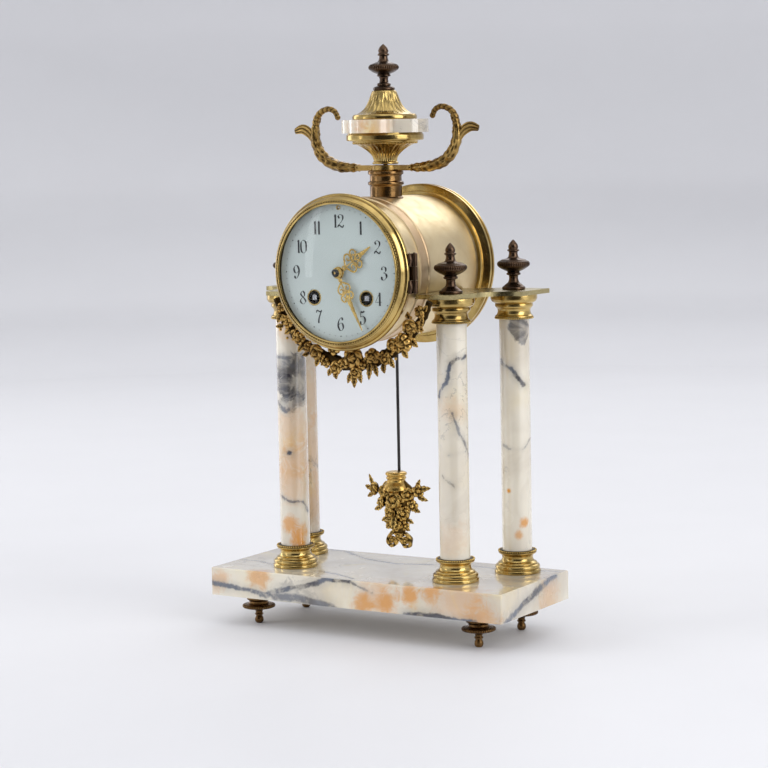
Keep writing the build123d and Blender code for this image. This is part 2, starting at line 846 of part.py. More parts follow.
# ---- movement plates and pillars ----
PIVOT_R = 0.8
FINE_PIVOT_R = 0.5
BARREL_PIVOT_R = 2.5
PLATE_PIVOTS = [
    (GOING, BARREL_PIVOT_R),
    (STRIKE, BARREL_PIVOT_R),
    (MIDDLE, PIVOT_R),
    (PIN_WHEEL, PIVOT_R),
    (THIRD, FINE_PIVOT_R),
    (ESCAPE, FINE_PIVOT_R),
    (HAMMER_AT, PIVOT_R),
]
with BuildPart() as front_plate:
    with BuildSketch(facing(FRONT_PLATE[1])):
        Circle(PLATE_R)
        with Locations((0, RATING_Z)):
            Rectangle(6, 4.6)
        for side in (1, -1):
            with Locations((side * 40.2, 0)):
                Rectangle(5.0, 7.0)
        for at, radius in [*PLATE_PIVOTS, (CENTRE, ARBOR_R), (ANCHOR, FINE_PIVOT_R)]:
            with Locations(at):
                Circle(radius + RUNNING, mode=Mode.SUBTRACT)
        with Locations((0, RATING_Z)):
            Circle(PIVOT_R + RUNNING, mode=Mode.SUBTRACT)
    extrude(amount=FRONT_PLATE[1] - FRONT_PLATE[0])
    add_rod(MINUTE_STUD, (-45.2, FRONT_PLATE[0]), PIVOT_R)
keep(front_plate, "front_plate")

with BuildPart() as back_plate:
    with BuildSketch(facing(BACK_PLATE[1])):
        Circle(PLATE_R)
        for at, radius in [*PLATE_PIVOTS, (CENTRE, PIVOT_R), (ANCHOR, PIVOT_R)]:
            with Locations(at):
                Circle(radius + RUNNING, mode=Mode.SUBTRACT)
    extrude(amount=BACK_PLATE[1] - BACK_PLATE[0])
keep(back_plate, "back_plate")

with BuildPart() as plate_pillars:
    for at in PILLARS:
        add_rod(at, (FRONT_PLATE[1] + 0.02, BACK_PLATE[0] - 0.02), 2.4)
keep(plate_pillars, "plate_pillars")

with BuildPart() as case_straps:
    for side in (1, -1):
        x_range = sorted((side * 42.8, side * 43.8))
        add_block(x_range, (FRONT_PLATE[0], 50.0), -3.2, 3.2)
        foot_range = sorted((side * 36.0, side * 43.8))
        add_block(foot_range, (48.8, 50.0), -3.2, 3.2)
keep(case_straps, "case_straps")


# ---- barrels, mainsprings and winding arbors ----
BARREL_R = 16.0
BARREL_WALL = 1.2
BARREL_Y = (-28.0, -4.0)
GREAT_Y = (-4.0, -2.0)
FIRST_PINION_Y = (-4.6, -1.4)
SPRING_Y = (-26.4, -5.6)
RATCHET_Y = (-40.2, -38.6)
SQUARE_FRONT = -50.2


def build_barrel(at, phase, name):
    with BuildPart() as barrel:
        add_rod(at, BARREL_Y, BARREL_R)
        cut_hole(at, (BARREL_Y[0] + BARREL_WALL, BARREL_Y[1] - BARREL_WALL), BARREL_R - BARREL_WALL)
        add_gear(at, GREAT_Y, gear_points(GREAT_TEETH, GREAT_MODULE, phase))
        cut_hole(at, (BARREL_Y[0] - 1, GREAT_Y[1] + 1), BARREL_PIVOT_R + RUNNING)
    keep(barrel, name)


def build_mainspring(at, name):
    """A flat spring wound as a spiral against the barrel's wall."""
    turns = 6
    steps = 24
    inner_r = 5.2
    growth = 1.5
    strip = 0.4
    middle = []
    for i in range(turns * steps + 1):
        angle = 2 * pi * i / steps
        middle.append((inner_r + growth * angle / (2 * pi), angle))
    outer = [((r + strip) * cos(a), (r + strip) * sin(a)) for r, a in middle]
    inner = [(r * cos(a), r * sin(a)) for r, a in reversed(middle)]
    with BuildPart() as spring:
        with BuildSketch(facing(SPRING_Y[1], at[0], AXIS_Z + at[1])):
            with BuildLine():
                Polyline(*outer, *inner, close=True)
            make_face()
        extrude(amount=SPRING_Y[1] - SPRING_Y[0])
    keep(spring, name)


def build_winding_arbor(at, name):
    with BuildPart() as arbor:
        add_rod(at, (RATCHET_Y[0], BACK_PLATE[1]), BARREL_PIVOT_R)
        add_rod(at, SPRING_Y, 4.4)
        add_gear(at, RATCHET_Y, gear_points(24, 0.5, 0))
        with BuildSketch(facing(RATCHET_Y[0], at[0], AXIS_Z + at[1])):
            Rectangle(3.2, 3.2)
        extrude(amount=RATCHET_Y[0] - SQUARE_FRONT)
    keep(arbor, name)


build_barrel(GOING, toward(GOING, MIDDLE), "going_barrel")
build_barrel(STRIKE, toward(STRIKE, PIN_WHEEL), "strike_barrel")
build_mainspring(GOING, "going_mainspring")
build_mainspring(STRIKE, "strike_mainspring")
build_winding_arbor(GOING, "going_winding_arbor")
build_winding_arbor(STRIKE, "strike_winding_arbor")


# ---- going train ----
ARBOR_Y = (FRONT_PLATE[1] + 0.3, BACK_PLATE[0] - 0.3)
PIVOT_Y = (FRONT_PLATE[0], BACK_PLATE[1])


def pinion_points(leaves, module, own, other):
    """Outline of a pinion at its own arbor, with a gap between two leaves facing the other."""
    return gear_points(leaves, module, toward(own, other) + 180 / leaves, True)


with BuildPart() as intermediate_wheel:
    add_rod(MIDDLE, ARBOR_Y, 1.2)
    add_rod(MIDDLE, PIVOT_Y, PIVOT_R)
    first_leaves = pinion_points(FIRST_LEAVES, GREAT_MODULE, MIDDLE, GOING)
    add_gear(MIDDLE, FIRST_PINION_Y, first_leaves)
    middle_teeth = gear_points(MIDDLE_TEETH, MIDDLE_MODULE, toward(MIDDLE, CENTRE))
    add_gear(MIDDLE, (-34.0, -32.6), middle_teeth, spokes=4, rim_r=11.4, hub_r=3.2)
keep(intermediate_wheel, "intermediate_wheel")

CENTRE_WHEEL_Y = (-31.0, -29.8)
CANNON_Y = (-41.6, -39.2)
CANNON_BACK = -38.4
CANNON_FRONT = -57.0
CENTRE_POST_R = 0.9
CANNON_CAP_R = 2.6
with BuildPart() as centre_wheel:
    add_rod(CENTRE, ARBOR_Y, 1.2)
    add_rod(CENTRE, (ARBOR_Y[1], PIVOT_Y[1]), PIVOT_R)
    centre_leaves = pinion_points(CENTRE_LEAVES, MIDDLE_MODULE, CENTRE, MIDDLE)
    add_gear(CENTRE, (-34.6, -32.0), centre_leaves)
    centre_teeth = gear_points(CENTRE_TEETH, CENTRE_MODULE, toward(CENTRE, THIRD))
    add_gear(CENTRE, CENTRE_WHEEL_Y, centre_teeth, spokes=4, rim_r=11.2, hub_r=2.8)
    add_rod(CENTRE, (CANNON_BACK + 0.05, ARBOR_Y[0]), ARBOR_R)
    add_rod(CENTRE, (CANNON_FRONT + 0.6, CANNON_BACK + 0.05), CENTRE_POST_R)
keep(centre_wheel, "centre_wheel")

# The cannon pinion slips on the centre arbor, so that the hands can be set.
with BuildPart() as cannon_pinion:
    cannon_leaves = pinion_points(CANNON_TEETH, MOTION_MODULE, CENTRE, MINUTE_STUD)
    add_gear(CENTRE, CANNON_Y, cannon_leaves)
    add_rod(CENTRE, (MINUTE_HAND_Y[0] - 1.4, CANNON_BACK), ARBOR_R)
    add_rod(CENTRE, (CANNON_FRONT, MINUTE_HAND_Y[0] - 0.02), CANNON_CAP_R)
    fillet(cannon_pinion.edges().filter_by(GeomType.CIRCLE).sort_by(Axis.Y)[0], 1.2)
    cut_hole(CENTRE, (CANNON_FRONT - 1, CANNON_BACK + 1), CENTRE_POST_R + RUNNING)
keep(cannon_pinion, "cannon_pinion")

THIRD_WHEEL_Y = (-8.0, -7.0)
with BuildPart() as third_wheel:
    add_rod(THIRD, ARBOR_Y, 0.8)
    add_rod(THIRD, PIVOT_Y, FINE_PIVOT_R)
    third_leaves = pinion_points(SMALL_LEAVES, CENTRE_MODULE, THIRD, CENTRE)
    add_gear(THIRD, (-32.0, -28.8), third_leaves)
    third_teeth = gear_points(THIRD_TEETH, THIRD_MODULE, toward(THIRD, ESCAPE))
    add_gear(THIRD, THIRD_WHEEL_Y, third_teeth, spokes=4, rim_r=9.6, hub_r=2.0)
keep(third_wheel, "third_wheel")


def escape_points():
    """Pointed teeth that lean forward, as on a recoil escape wheel."""
    pitch = 360 / ESCAPE_TEETH
    points = []
    for i in range(ESCAPE_TEETH):
        for radius, angle in ((7.7, 0.0), (ESCAPE_R, 0.35), (ESCAPE_R, 0.47), (7.7, 0.62)):
            turn = radians((i + angle) * pitch)
            points.append((radius * cos(turn), radius * sin(turn)))
    return points


ESCAPE_WHEEL_Y = (-14.0, -13.0)
with BuildPart() as escape_wheel:
    add_rod(ESCAPE, ARBOR_Y, 0.7)
    add_rod(ESCAPE, PIVOT_Y, FINE_PIVOT_R)
    escape_leaves = pinion_points(SMALL_LEAVES, THIRD_MODULE, ESCAPE, THIRD)
    add_gear(ESCAPE, (-9.0, -6.0), escape_leaves)
    add_gear(ESCAPE, ESCAPE_WHEEL_Y, escape_points(), spokes=4, rim_r=7.0, hub_r=1.8)
keep(escape_wheel, "escape_wheel")


# ---- pallets on their arbor, with the crutch behind the back plate ----
ANCHOR_POINTS = [(1.8, 1.6), (6.2, -3.4), (7.2, -5.4), (5.6, -4.8), (2.2, -2.2)]
CRUTCH_Y = (9.2, 10.6)
CRUTCH_LOW = 11.0
FORK_GAP = 0.4
ROD_SWING_R = 1.0
with BuildPart() as pallet_anchor:
    with BuildSketch(facing(ESCAPE_WHEEL_Y[1] + 0.3, 0, AXIS_Z + PIVOT_Z)):
        with BuildLine():
            left = [(-x, z) for x, z in reversed(ANCHOR_POINTS)]
            Polyline(*ANCHOR_POINTS, *left, close=True)
        make_face()
    extrude(amount=1.6)
    add_rod(ANCHOR, (ARBOR_Y[0], 10.9), PIVOT_R)
    add_rod(ANCHOR, (PIVOT_Y[0], ARBOR_Y[0]), FINE_PIVOT_R)
    add_block((-0.9, 0.9), CRUTCH_Y, CRUTCH_LOW, PIVOT_Z + 1.2)
    add_block((-2.6, 2.6), (CRUTCH_Y[0], PENDULUM_Y + 2.4), CRUTCH_LOW, CRUTCH_LOW + 1.6)
    with BuildSketch(Plane.XY.offset(AXIS_Z + CRUTCH_LOW - 1)):
        with Locations((0, PENDULUM_Y + 1.6)):
            Rectangle(2 * (ROD_SWING_R + FORK_GAP), 7.0)
    extrude(amount=4, mode=Mode.SUBTRACT)
keep(pallet_anchor, "pallet_anchor")


# ---- motion work behind the dial ----
MINUTE_WHEEL_Y = (-41.0, -39.8)
HOUR_WHEEL_Y = (-44.2, -43.0)
with BuildPart() as minute_wheel:
    minute_teeth = gear_points(MINUTE_TEETH, MOTION_MODULE, toward(MINUTE_STUD, CENTRE))
    add_gear(MINUTE_STUD, MINUTE_WHEEL_Y, minute_teeth)
    minute_leaves = pinion_points(SMALL_LEAVES, MOTION_MODULE, MINUTE_STUD, CENTRE)
    add_gear(MINUTE_STUD, (-44.6, MINUTE_WHEEL_Y[0]), minute_leaves)
    cut_hole(MINUTE_STUD, (-46, -38), PIVOT_R + RUNNING)
keep(minute_wheel, "minute_wheel")

with BuildPart() as hour_wheel:
    hour_teeth = gear_points(HOUR_TEETH, MOTION_MODULE, toward(CENTRE, MINUTE_STUD))
    add_gear(CENTRE, HOUR_WHEEL_Y, hour_teeth)
    add_rod(CENTRE, (HOUR_HAND_Y[0], -42.2), PIPE_R)
    cut_hole(CENTRE, (HOUR_HAND_Y[0] - 1, -42), ARBOR_R + RUNNING)
keep(hour_wheel, "hour_wheel")


# ---- strike: pin wheel, hammer, bell and its stand ----
PIN_COUNT = 8
PIN_CIRCLE = 7.5
TAIL_LENGTH = 3.7
PIN_WHEEL_Y = (-34.0, -32.6)
hammer_side = toward(PIN_WHEEL, HAMMER_AT)
with BuildPart() as pin_wheel:
    add_rod(PIN_WHEEL, ARBOR_Y, 1.2)
    add_rod(PIN_WHEEL, PIVOT_Y, PIVOT_R)
    pin_leaves = pinion_points(FIRST_LEAVES, GREAT_MODULE, PIN_WHEEL, STRIKE)
    add_gear(PIN_WHEEL, FIRST_PINION_Y, pin_leaves)
    add_gear(PIN_WHEEL, PIN_WHEEL_Y, gear_points(PIN_WHEEL_TEETH, MIDDLE_MODULE, 0))
    for i in range(PIN_COUNT):
        turn = radians(hammer_side + (i + 0.5) * 360 / PIN_COUNT)
        pin_at = (PIN_WHEEL[0] + PIN_CIRCLE * cos(turn), PIN_WHEEL[1] + PIN_CIRCLE * sin(turn))
        add_rod(pin_at, (PIN_WHEEL_Y[1], -29.6), 0.5)
keep(pin_wheel, "pin_wheel")

HEAD_AT = (-23.0, 23.0)
HEAD_R = 3.0
ARM_Y = (28.0, 29.6)
with BuildPart() as hammer:
    add_rod(HAMMER_AT, (PIVOT_Y[0], ARM_Y[1]), PIVOT_R)
    add_rod(HEAD_AT, (26.2, 31.4), HEAD_R)
    arm_angle = toward(HAMMER_AT, HEAD_AT)
    arm_length = hypot(HEAD_AT[0] - HAMMER_AT[0], HEAD_AT[1] - HAMMER_AT[1])
    tail_angle = toward(HAMMER_AT, PIN_WHEEL)
    for angle, length, depth in (
        (arm_angle, arm_length, ARM_Y),
        (tail_angle, TAIL_LENGTH, (-31.8, -30.4)),
    ):
        along = (cos(radians(angle)), 0, sin(radians(angle)))
        origin = (HAMMER_AT[0], depth[1], AXIS_Z + HAMMER_AT[1])
        with BuildSketch(Plane(origin=origin, x_dir=along, z_dir=(0, -1, 0))):
            with Locations((length / 2, 0)):
                Rectangle(length, 1.2)
            Circle(1.6)
        extrude(amount=depth[1] - depth[0])
keep(hammer, "hammer")

BELL_MOUTH = 25.0
BELL_TOP = 43.0
STAND_R = 2.0
with BuildPart() as bell:
    with BuildSketch(Plane.XY.offset(AXIS_Z)):
        with BuildLine():
            Line((BELL_R - 1.8, BELL_MOUTH), (BELL_R, BELL_MOUTH))
            Spline((BELL_R, BELL_MOUTH), (BELL_R - 1.2, 33.0), (21.0, 40.4), (9.0, BELL_TOP))
            Line((9.0, BELL_TOP), (STAND_R + HOLE_ROOM, BELL_TOP))
            Line((STAND_R + HOLE_ROOM, BELL_TOP), (STAND_R + HOLE_ROOM, BELL_TOP - 1.8))
            Line((STAND_R + HOLE_ROOM, BELL_TOP - 1.8), (8.6, BELL_TOP - 1.8))
            Spline((8.6, BELL_TOP - 1.8), (19.8, 38.8), (BELL_R - 3.0, 32.2), (BELL_R - 1.8, BELL_MOUTH))
        make_face()
    revolve(axis=Axis((0, 0, AXIS_Z), (0, 1, 0)))
keep(bell, "bell")

STAND_X = 24.0
with BuildPart() as bell_stand:
    add_rod((STAND_X, 0), (BACK_PLATE[1] + 0.02, 23.5), STAND_R)
    add_block((0, STAND_X), (21.5, 23.5), -2.5, 2.5)
    add_rod(CENTRE, (21.5, 23.5), 2.5)
    add_rod(CENTRE, (23.5, 47.0), STAND_R)
    add_rod(CENTRE, (23.5, BELL_TOP - 1.85), 3.4)
    add_rod(CENTRE, (BELL_TOP + 0.05, 45.4), 4.2)
keep(bell_stand, "bell_stand")


# ---- suspension cock and rating arbor ----
COCK_Y = (11.6, 13.6)
with BuildPart() as suspension_cock:
    with BuildSketch(facing(COCK_Y[1])):
        with Locations((0, 33.2)):
            Rectangle(21.0, 5.6)
        with Locations((0, 39.0)):
            Rectangle(7.0, 8.0)
        with Locations((0, RATING_Z)):
            Circle(PIVOT_R + RUNNING, mode=Mode.SUBTRACT)
    extrude(amount=COCK_Y[1] - COCK_Y[0])
    for side in (1, -1):
        add_block(sorted((side * 7.6, side * 10.5)), (BACK_PLATE[1] + 0.02, COCK_Y[1]), 30.4, 36.0)
    add_rod(ANCHOR, (COCK_Y[1], PENDULUM_Y + 3.0), PIVOT_R)
keep(suspension_cock, "suspension_cock")

with BuildPart() as rating_arbor:
    add_rod((0, RATING_Z), (-50.0, COCK_Y[1] + 0.6), PIVOT_R)
    add_rod((0, RATING_Z), (-35.2, -33.6), 1.5)
keep(rating_arbor, "rating_arbor")


# ---- pendulum: rod with its eye, and the cast bob ----
ROD_LOW = 93.0
SOCKET = 0.03
with BuildPart() as pendulum_rod:
    add_rod(ANCHOR, (PENDULUM_Y - 1.5, PENDULUM_Y + 1.5), 2.6)
    cut_hole(ANCHOR, (PENDULUM_Y - 4, PENDULUM_Y + 4), PIVOT_R + RUNNING)
    with BuildSketch(Plane.XY.offset(ROD_LOW)):
        with Locations((0, PENDULUM_Y)):
            Circle(ROD_SWING_R)
    extrude(amount=ROD_TOP_Z - 1.6 - ROD_LOW)
keep(pendulum_rod, "pendulum_rod")

BOB_OUTLINE = [
    (0, 101.5), (7.0, 101.5), (7.2, 99.0), (6.2, 96.5), (8.6, 93.0), (13.0, 91.5), (16.0, 94.0),
    (22.0, 91.0), (18.6, 85.0), (15.0, 80.0), (12.6, 76.0), (9.6, 69.0), (6.4, 64.0), (4.2, 61.0),
    (7.6, 57.0), (8.2, 53.5), (5.6, 51.0), (2.4, 53.6), (0, 54.4),
]
BOB_Y = (6.5, 19.5)
with BuildPart() as pendulum_bob:
    with BuildSketch(Plane.XZ.offset(-BOB_Y[1])):
        with BuildLine():
            left_side = [(-x, z) for x, z in reversed(BOB_OUTLINE[1:-1])]
            Polyline(*BOB_OUTLINE, *left_side, close=True)
        make_face()
    extrude(amount=BOB_Y[1] - BOB_Y[0])
    with BuildSketch(Plane.XY.offset(ROD_LOW - 0.5)):
        with Locations((0, PENDULUM_Y)):
            Circle(ROD_SWING_R + SOCKET)
    extrude(amount=BOB_TOP - ROD_LOW + 2, mode=Mode.SUBTRACT)
keep(pendulum_bob, "pendulum_bob")
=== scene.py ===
import math

import bmesh
import bpy
import numpy as np
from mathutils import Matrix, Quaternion, Vector


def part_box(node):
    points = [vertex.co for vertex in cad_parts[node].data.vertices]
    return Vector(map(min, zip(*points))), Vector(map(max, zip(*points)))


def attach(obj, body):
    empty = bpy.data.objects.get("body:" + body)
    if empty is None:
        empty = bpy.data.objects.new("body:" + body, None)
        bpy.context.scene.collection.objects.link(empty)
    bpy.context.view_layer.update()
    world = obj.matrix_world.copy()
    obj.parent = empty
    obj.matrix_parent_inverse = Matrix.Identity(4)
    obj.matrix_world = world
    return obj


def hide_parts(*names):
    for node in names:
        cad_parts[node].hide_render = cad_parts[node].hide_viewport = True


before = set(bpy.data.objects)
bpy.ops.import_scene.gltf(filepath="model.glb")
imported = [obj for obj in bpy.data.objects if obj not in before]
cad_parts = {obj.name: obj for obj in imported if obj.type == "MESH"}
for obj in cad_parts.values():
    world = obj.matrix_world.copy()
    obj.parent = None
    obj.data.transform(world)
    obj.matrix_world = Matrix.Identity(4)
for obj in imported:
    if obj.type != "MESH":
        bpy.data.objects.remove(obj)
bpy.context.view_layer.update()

bl_info = {
    "name": "Portico Clock",
    "version": (1, 0, 0),
    "blender": (4, 5, 0),
    "location": "View3D > Sidebar > Clock",
    "description": "Dresses the frame of a four-column mantel clock in marble and gilt brass",
    "category": "Add Mesh",
}

# Lengths below are millimetres, measured in the frame: X to the right, Y to the back, Z up.
MM = 0.001
TAU = 2 * math.pi


def low_high(node):
    """Lowest and highest corner of a frame node."""
    low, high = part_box(node)
    return np.array(low) / MM, np.array(high) / MM


def middle(node):
    """Middle of a frame node."""
    low, high = low_high(node)
    return (low + high) / 2


AXIS_Z = middle("bezel_glass")[2]
URN_Y = middle("urn_bowl")[1]
SLAB_TOP = low_high("base_slab")[1][2]
CAPITAL_LOW = low_high("column_capitals")[0][2]
FINIAL_LOW = low_high("column_finials")[0][2]
BAR_LOW, BAR_HIGH = (corner[2] for corner in low_high("urn_handles"))
DISC_LOW, DISC_HIGH = (corner[2] for corner in low_high("urn_marble_disc"))
LID_HIGH = low_high("urn_lid")[1][2]
DIAL_FACE = low_high("dial")[0][1]
BOB_HIGH = low_high("pendulum_bob")[1][2]
PLACES = ("front_left", "front_right", "back_left", "back_right")
COLUMNS = {place: middle("column_shaft_" + place)[:2] for place in PLACES}
FEET = {place: middle("foot_" + place)[:2] for place in PLACES}


# ---- shells: each is (points, quads, cavity), cavity being 0 on top and 1 in a recess; the metal darkens with it as dark patina and painted shade, and some shells add painted shade on undersides and on parts further back ----
def grid(points, cavity=0.0):
    """Shell over an (n, m, 3) array of points: each cell of the grid is one quad."""
    rows, columns = points.shape[:2]
    index = np.arange(rows * columns).reshape(rows, columns)
    corners = (index[:-1, :-1], index[1:, :-1], index[1:, 1:], index[:-1, 1:])
    quads = np.stack(corners, axis=-1).reshape(-1, 4)
    shade = np.broadcast_to(cavity, (rows, columns)).reshape(-1)
    return points.reshape(-1, 3), quads, shade


def copies(shell, offsets):
    """The shell set down again at every offset."""
    points, quads, cavity = shell
    count = len(offsets)
    moved = (points[None] + np.asarray(offsets)[:, None]).reshape(-1, 3)
    more = quads[None] + (np.arange(count) * len(points))[:, None, None]
    return moved, more.reshape(-1, 4), np.tile(cavity, count)


def joined(shells):
    """All the shells as one."""
    starts = np.cumsum([0] + [len(shell[0]) for shell in shells[:-1]])
    points = np.concatenate([shell[0] for shell in shells])
    quads = np.concatenate([shell[1] + start for shell, start in zip(shells, starts)])
    return points, quads, np.concatenate([shell[2] for shell in shells])


def rounded(profile, closed=False, steps=5):
    """Profile rows are (radius, height, reach): each corner becomes a parabola between
    the points where it leaves its two edges, at the reach or at 0.48 of a shorter edge."""
    rows = np.array(profile, float)
    corner = rows[:, :2]

    def leaving(other):
        way = other - corner
        length = np.maximum(np.linalg.norm(way, axis=1), 1e-9)
        return corner + way * (np.minimum(rows[:, 2], 0.48 * length) / length)[:, None]

    start = leaving(np.roll(corner, 1, axis=0))[:, None]
    end = leaving(np.roll(corner, -1, axis=0))[:, None]
    t = np.linspace(0, 1, steps)[None, :, None]
    curve = (1 - t) ** 2 * start + 2 * t * (1 - t) * corner[:, None] + t**2 * end
    if not closed:
        curve[0] = corner[0]
        curve[-1] = corner[-1]
    curve = curve.reshape(-1, 2)
    if closed:
        curve = np.vstack([curve, curve[:1]])
    apart = np.linalg.norm(np.diff(curve, axis=0), axis=1) > 1e-4
    return curve[np.concatenate([[True], apart])]


def raised(level, *rows):
    """Profile rows whose heights are measured from the level."""
    return [(radius, level + height, reach) for radius, height, reach in rows]


def spaced(curve, gap):
    """The same line with more points, none further apart than the gap."""
    run = np.concatenate([[0], np.cumsum(np.linalg.norm(np.diff(curve, axis=0), axis=1))])
    marks = np.union1d(run, np.arange(0, run[-1], gap))
    return np.stack([np.interp(marks, run, column) for column in curve.T], axis=-1)


def turned(profile, centre, around="z", steps=96, gap=None, relief=None, closed=False, groove_patina_and_shade=1.0):
    """A profile turned on an axis: the point at angle a is centre + radius (cos a, sin a).
    Relief moves it along the profile's normal by relief(angle, height)."""
    curve = rounded(profile, closed)
    if gap:
        curve = spaced(curve, gap)
    angle = np.linspace(0, TAU, steps + 1)[None]
    radius, height = curve[:, :1], curve[:, 1:]
    cavity = 0.0
    if relief:
        along = np.gradient(curve, axis=0)
        along = along / np.maximum(np.linalg.norm(along, axis=1), 1e-9)[:, None]
        depth = relief(angle, height)
        # Dark patina and painted shade: the relief's depth, scaled, becomes the cavity that darkens
        # the grooves.
        cavity = groove_patina_and_shade * np.clip(-depth / max(-depth.min(), 1e-6), 0, 1)
        radius, height = radius + depth * along[:, 1:], height - depth * along[:, :1]
    first = centre[0] + radius * np.cos(angle)
    second = centre[1] + radius * np.sin(angle)
    height = height + 0 * angle
    if around == "z":
        return grid(np.stack([first, second, height], axis=-1), cavity)
    return grid(np.stack([first, height, second], axis=-1), cavity)


def ball(radius, across=8, up=5, squash=1.0):
    """A sphere by longitude and latitude, flattened along Z by squash."""
    turn = np.linspace(0, TAU, across + 1)[None]
    rise = np.linspace(0, math.pi, up + 1)[:, None]
    ring = np.sin(rise)
    points = np.stack(
        [ring * np.cos(turn), ring * np.sin(turn), squash * np.cos(rise) + 0 * turn], axis=-1
    )
    return grid(points * radius)


def bead_ring(centre, height, ring, count, radius, around="z"):
    """Beads set evenly on a circle."""
    angle = np.arange(count) * TAU / count
    first, second = centre[0] + ring * np.cos(angle), centre[1] + ring * np.sin(angle)
    level = np.full(count, height)
    order = (first, second, level) if around == "z" else (first, level, second)
    return copies(ball(radius), np.stack(order, axis=-1))


def soiled(shell, where):
    """The shell darkened nearly fully (cavity 0.95) at the heights that where picks, as dark patina
    and painted shade.
    """
    points, quads, cavity = shell
    return points, quads, np.where(where(points[:, 2]), 0.95, cavity)


def smooth(route, steps=8):
    """A line through every point of the route, cubic between them (Catmull-Rom)."""
    route = np.array(route, float)
    whole = np.vstack([2 * route[0] - route[1], route, 2 * route[-1] - route[-2]])
    a, b, c, d = (whole[i : len(whole) - 3 + i][:, None] for i in range(4))
    t = np.linspace(0, 1, steps, endpoint=False)[None, :, None]
    line = b + 0.5 * t * (c - a + t * (2 * a - 5 * b + 4 * c - d + t * (3 * (b - c) + d - a)))
    return np.vstack([line.reshape(-1, route.shape[1]), route[-1:]])


def tube(path, half, deep, across, sides=10, relief=None, turn=0.0, closed=False):
    """An ellipse carried along a path: the point at angle a is path + half cos(a) first +
    deep sin(a) second, where second is the across direction squared to the path and first
    is square to both. Open ends are drawn to a point in their own plane."""
    path = np.asarray(path, float)
    count = len(path)
    half, deep = np.broadcast_to(half, count), np.broadcast_to(deep, count)
    if closed:
        wrapped = np.vstack([path[-2:-1], path, path[1:2]])
        tangent = wrapped[2:] - wrapped[:-2]
    else:
        tangent = np.gradient(path, axis=0)
    tangent = tangent / np.linalg.norm(tangent, axis=1)[:, None]
    second = np.asarray(across, float) - tangent * (tangent @ across)[:, None]
    second = second / np.linalg.norm(second, axis=1)[:, None]
    first = np.cross(second, tangent)
    angle = np.linspace(0, TAU, sides + 1)[None] + turn
    grow = 1.0
    cavity = np.zeros((count, sides + 1))
    if relief:
        depth = relief(np.linspace(0, 1, count)[:, None], angle)
        grow = 1 + depth
        # Dark patina and painted shade: the relief's depth becomes the cavity that darkens the
        # grooves.
        cavity = np.clip(-depth / max(-depth.min(), 1e-6), 0, 1)
    one = (half[:, None] * np.cos(angle) * grow)[..., None] * first[:, None]
    two = (deep[:, None] * np.sin(angle) * grow)[..., None] * second[:, None]
    points = path[:, None] + one + two
    if not closed:
        ends = np.repeat(path[[0, -1]][:, None], sides + 1, axis=1)
        points = np.concatenate([ends[:1], points, ends[1:]])
        cavity = np.concatenate([cavity[:1], cavity, cavity[-1:]])
    return grid(points, cavity)


def circle(centre, radius, steps=48):
    """A closed circle in the plane of the dial."""
    angle = np.linspace(0, TAU, steps + 1)
    x, z = centre[0] + radius * np.cos(angle), centre[2] + radius * np.sin(angle)
    return np.stack([x, np.full_like(x, centre[1]), z], axis=-1)


def standing(line, y):
    """A line of (x, z) points stood in the plane at y."""
    return np.stack([line[:, 0], np.full(len(line), y), line[:, 1]], axis=-1)


def unit(vector):
    """The vector at length 1."""
    return np.asarray(vector, float) / np.linalg.norm(vector)


def leaf(root, along, out, length, width, bend=0.25, lobes=4, thick=0.7):
    """A lobed leaf as a closed lens. At u from root to tip its half-width is a sine bulge
    times a scalloped factor, its ribs are a cosine that slants outwards, and the whole
    lifts towards out by bend times u squared."""
    along = unit(along)
    out = unit(np.asarray(out, float) - along * np.dot(out, along))
    side = np.cross(along, out)
    u = np.linspace(0, 1, 8 * lobes + 5)[:, None]
    angle = np.linspace(0, TAU, 17)[None]
    v = np.cos(angle)
    scallop = 1 - 0.2 * np.abs(np.cos(math.pi * lobes * u)) ** 3
    bulge = np.sin(math.pi * (0.06 + 0.94 * u) ** 0.8) ** 0.75
    half = 0.5 * width * np.maximum(bulge, 0) * scallop
    rib = np.cos(TAU * lobes * (u - 0.22 * np.abs(v))) * (1 - v**2)
    fold = 0.22 * width * np.abs(v) * bulge
    rise = bend * length * u**2 + thick * np.sin(angle) * (0.9 - 0.5 * u) + fold
    rise = rise + 0.22 * thick * rib * (np.sin(angle) > 0)
    centre = np.asarray(root, float) + along * (u * length)[..., None]
    points = centre + side * (half * v)[..., None] + out * rise[..., None]
    # Dark patina and painted shade along the midrib, at the root and between the ribs; painted shade
    # on the back face (the 0.3 where the sine is below 0).
    deep = np.exp(-((v / 0.3) ** 2)) * 0.6 + 0.5 * (1 - u) ** 2 + 0.35 * (rib < -0.3)
    return grid(points, np.clip(deep + 0.3 * (np.sin(angle) < 0), 0, 1))


